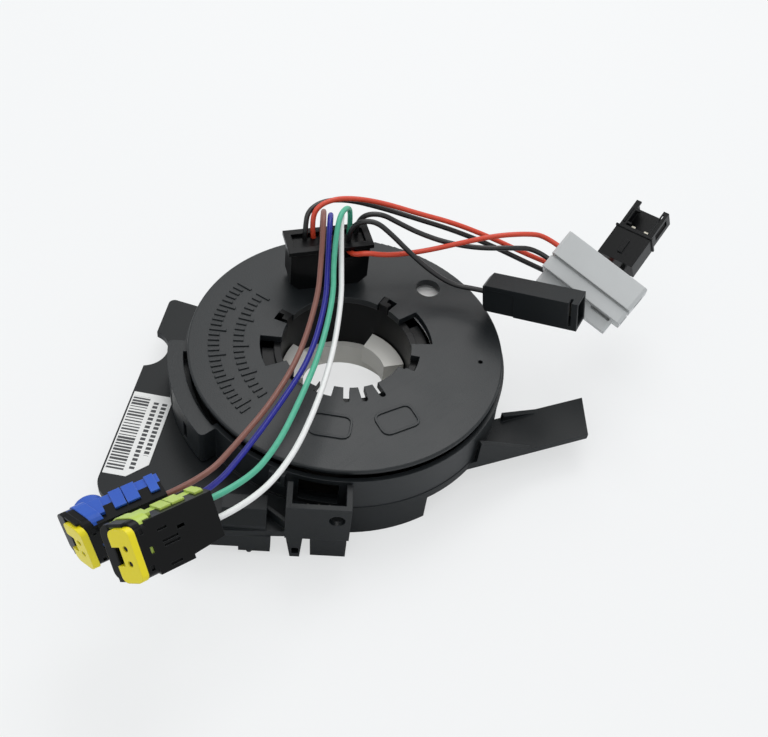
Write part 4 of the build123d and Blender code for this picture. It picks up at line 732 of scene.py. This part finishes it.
def front_slab(bm, across, thick, back, corner, sharp_top=False):
    """Add a rounded slab, from its spans in width and thickness, and how far its two
    sides stand back from the front, all in mm. sharp_top keeps the upper corners."""
    one = bmesh.new()
    middle = Matrix.Translation((sum(across) / 2, sum(thick) / 2, 0))
    size = Matrix.Diagonal((across[1] - across[0], thick[1] - thick[0], 1, 1))
    bmesh.ops.create_grid(one, x_segments=1, y_segments=1, size=0.5, matrix=middle @ size)
    rounded = [v for v in one.verts if not sharp_top or v.co.y < sum(thick) / 2]
    bmesh.ops.bevel(one, geom=rounded, offset=corner, segments=5, profile=0.5,
                    affect="VERTICES", material=-1)
    raised = bmesh.ops.extrude_face_region(one, geom=one.faces[:])
    tops = [v for v in raised["geom"] if isinstance(v, bmesh.types.BMVert)]
    bmesh.ops.translate(one, vec=(0, 0, back[0] - back[1]), verts=tops)
    to_plug = Matrix((
        (0, -AIRBAG_SLOPE, 1, AIRBAG_REACH - back[0]),
        (1, 0, 0, 0),
        (0, 1, 0, 0),
        (0, 0, 0, 1),
    ))
    bmesh.ops.transform(one, matrix=to_plug, verts=one.verts)
    bmesh.ops.recalc_face_normals(one, faces=one.faces)
    rims = [e for e in one.edges if e.calc_face_angle(0) > math.radians(SHARP_ANGLE)]
    bmesh.ops.bevel(one, geom=rims, offset=SLAB_BEVEL, segments=2, profile=0.5,
                    affect="EDGES", material=-1)
    part = bpy.data.meshes.new("one_slab")
    one.to_mesh(part)
    one.free()
    bm.from_mesh(part)
    bpy.data.meshes.remove(part)


print("bevel of a slab:", SLAB_BEVEL, "mm")

# %% [markdown]
# The black frame is one slab behind the yellow lock plate, a lip below the plate that
# stands farther forward, and a brow beside it. They overlap, as solids may where they are
# one colour. The hood is a larger slab behind them, of which only the rim shows.

# %% Frame and hood of each plug
BLACK_SLABS = (
    # span in width, span in thickness, how far back its sides are, corner, sharp_top
    ((-1.0, 13.9), (-1.0, 8.7), (4.3, 1.87), 2.6, False),
    ((-1.0, 13.9), (-1.0, 2.25), (2.4, 0.65), 2.6, True),
    ((-1.05, -0.08), (0.5, 6.9), (2.4, 0.9), 0.3, False),
)
HOOD_SLAB = ((-1.35, 13.6), (-1.35, 8.4), (7.4, 4.1), 2.9)

plug_fronts = []
for colour, hood_slot in (("green", "lime_moulding"), ("blue", "blue_moulding")):
    black = bmesh.new()
    for slab in BLACK_SLABS:
        front_slab(black, *slab)
    hood = bmesh.new()
    front_slab(hood, *HOOD_SLAB)
    place = airbag_matrix(colour)
    for kind, bm, slot in (("frame", black, "deep_black_moulding"), ("hood", hood, hood_slot)):
        bmesh.ops.transform(bm, matrix=place, verts=bm.verts)
        piece = piece_from(bm, f"{colour}_plug_{kind}", slot, FINISHES[slot])
        plug_fronts.append(piece.name)
print("plug fronts:", ", ".join(plug_fronts))

# %% [markdown]
# Two pegs of the cover stand in the round holes of each lock plate. The plate slides off
# them, so they ride with the plug and not with the plate. A peg is a cylinder with its
# outer rim bevelled, sheared so that its end follows the slanted front.

# %% Pegs in the lock plates
PEG_R = 0.75  # mm
PEG_WIDTHS = (5.15, 9.15)  # across the plug
PEG_THICK = 6.9  # over the mating side
PEG_FROM, PEG_TO = 21.8, 24.0  # along the plug, 0.3 mm short of the plate's face
PEG_BEVEL = 0.12

for colour in AIRBAG_FRAMES:
    pegs = bmesh.new()
    for width in PEG_WIDTHS:
        place = Matrix.Translation(((PEG_FROM + PEG_TO) / 2, width, PEG_THICK))
        place @= Matrix.Rotation(math.radians(90), 4, "Y")
        bmesh.ops.create_cone(pegs, cap_ends=True, segments=24, radius1=PEG_R, radius2=PEG_R,
                              depth=PEG_TO - PEG_FROM, matrix=place)
    rims = [e for e in pegs.edges if all(v.co.x > PEG_TO - 0.01 for v in e.verts)]
    bmesh.ops.bevel(pegs, geom=rims, offset=PEG_BEVEL, segments=2, profile=0.5,
                    affect="EDGES", material=-1)
    slanted = Matrix.Identity(4)
    slanted[0][2] = -AIRBAG_SLOPE
    slanted[0][3] = AIRBAG_SLOPE * PEG_THICK
    bmesh.ops.transform(pegs, matrix=airbag_matrix(colour) @ slanted, verts=pegs.verts)
    piece = piece_from(pegs, colour + "_plug_pegs", "deep_black_moulding",
                       FINISHES["deep_black_moulding"])
    plug_fronts.append(piece.name)
print("plug fronts:", len(plug_fronts))

# %% [markdown]
# A lead hangs free from the block to its plug. The leads are counted here, once the plugs
# at their ends are whole.

print("declared leads:", len(lead_curves))

# %% [markdown]
# The part lies on a pale matt table in soft light. A world that is bright enough to look
# white would also wash the part out. Light Path tells what a ray is for, so the world
# shows white to the camera, and to anything glossy or clear, and lights the part at a
# lower level.

# %% World
WORLD_LEVEL = 0.62

world = bpy.data.worlds.new("studio_world")
bpy.context.scene.world = world
world.use_nodes = True
sky = world.node_tree
sky.nodes.clear()
path = add(sky, "ShaderNodeLightPath")
seen_or_passed = add(sky, "ShaderNodeMath", {"operation": "MAXIMUM"},
                     {0: path.outputs["Is Camera Ray"],
                      1: path.outputs["Is Transmission Ray"]})
shows_white = add(sky, "ShaderNodeMath", {"operation": "MAXIMUM"},
                  {0: seen_or_passed.outputs[0], 1: path.outputs["Is Glossy Ray"]})
lighting = add(sky, "ShaderNodeBackground",
               {"Color": linear("#f3f6fa"), "Strength": WORLD_LEVEL})
showing = add(sky, "ShaderNodeBackground", {"Color": linear("#fbfcfc"), "Strength": 1.0})
choice = add(sky, "ShaderNodeMixShader",
             links={0: shows_white.outputs[0], 1: lighting.outputs[0], 2: showing.outputs[0]})
add(sky, "ShaderNodeOutputWorld", links={"Surface": choice.outputs[0]})
print("world level:", WORLD_LEVEL)

# %% [markdown]
# The main lamp is a wide soft box high behind the part, a little to the right. It stands
# where the front of the disc mirrors it to the camera, so the front is paler than the far
# left, and shadows fall softly towards the camera. A wider lamp overhead lifts the rest.

# %% Lamps
LAMP_AIM = (0, 0, 20)
LAMPS = {
    # place and size in mm, power in watts
    "key_lamp": ((200, 430, 760), 420, 2.1),
    "top_lamp": ((-60, -20, 800), 700, 1.3),
}


def soft_box(name, place, aim, size, watts):
    """A square area lamp at a place, turned to a point, both in millimetres."""
    data = bpy.data.lights.new(name, "AREA")
    data.shape = "SQUARE"
    data.size = size * MM
    data.energy = watts
    lamp = bpy.data.objects.new(name, data)
    lamp.location = mm(*place)
    lamp.rotation_mode = "QUATERNION"
    lamp.rotation_quaternion = (mm(*aim) - mm(*place)).to_track_quat("-Z", "Y")
    bpy.context.scene.collection.objects.link(lamp)


for name, (place, size, watts) in LAMPS.items():
    soft_box(name, place, LAMP_AIM, size, watts)
print("lamps:", ", ".join(LAMPS))

# %% [markdown]
# The table top is a real surface, so that the part drops a soft shadow on it, and it is so
# wide that its edge is far off in every view. It isn't part of the object.

# %% Table top
FLOOR_HALF = 6000  # mm

floor_bm = bmesh.new()
bmesh.ops.create_grid(floor_bm, x_segments=2, y_segments=2, size=FLOOR_HALF * MM)
floor_mesh = bpy.data.meshes.new("table_top")
floor_bm.to_mesh(floor_mesh)
floor_bm.free()
floor = bpy.data.objects.new("table_top", floor_mesh)
bpy.context.scene.collection.objects.link(floor)
print("table top:", 2 * FLOOR_HALF, "mm wide")

# %% [markdown]
# The table is matt laminate, even and pale, with a tone that drifts very slowly across it.
# Lit alone it would look grey far from the lamps. To the camera, and to nothing else, most
# of it is a plain pale white, and the rest is still lit and keeps the shadow.

# %% Laminate
DRIFT_SIZE = 260  # mm
FLOOR_WHITE = 0.65  # the share of plain white that the camera sees

laminate, tree, shader = new_material("matt_laminate_table")
where = add(tree, "ShaderNodeTexCoord")
drift = add(tree, "ShaderNodeTexNoise", {"Scale": 1 / (DRIFT_SIZE * MM), "Detail": 1.0},
            {"Vector": where.outputs["Object"]})
tone = add(tree, "ShaderNodeMix",
           {"data_type": "RGBA", 6: linear("#f4f6f7"), 7: linear("#fbfbfb")},
           {0: drift.outputs["Fac"]})
tree.links.new(tone.outputs[2], shader.inputs["Base Color"])
shader.inputs["Roughness"].default_value = 0.7
shader.inputs["Specular IOR Level"].default_value = 0.15
path = add(tree, "ShaderNodeLightPath")
share = add(tree, "ShaderNodeMath", {"operation": "MULTIPLY", 1: FLOOR_WHITE},
            {0: path.outputs["Is Camera Ray"]})
white = add(tree, "ShaderNodeEmission", {"Color": linear("#f8f9f9"), "Strength": 1.0})
mixed = add(tree, "ShaderNodeMixShader",
            links={0: share.outputs["Value"], 1: shader.outputs["BSDF"],
                   2: white.outputs["Emission"]})
output = tree.nodes["Material Output"]
tree.links.new(mixed.outputs["Shader"], output.inputs["Surface"])
floor_mesh.materials.append(laminate)
print("finish of the table:", laminate.name)

# %% [markdown]

# %% [markdown]
# The Standard view shows each colour as it is written, where the default one would mute
# them.

# %% Colour view
bpy.context.scene.view_settings.view_transform = "Standard"
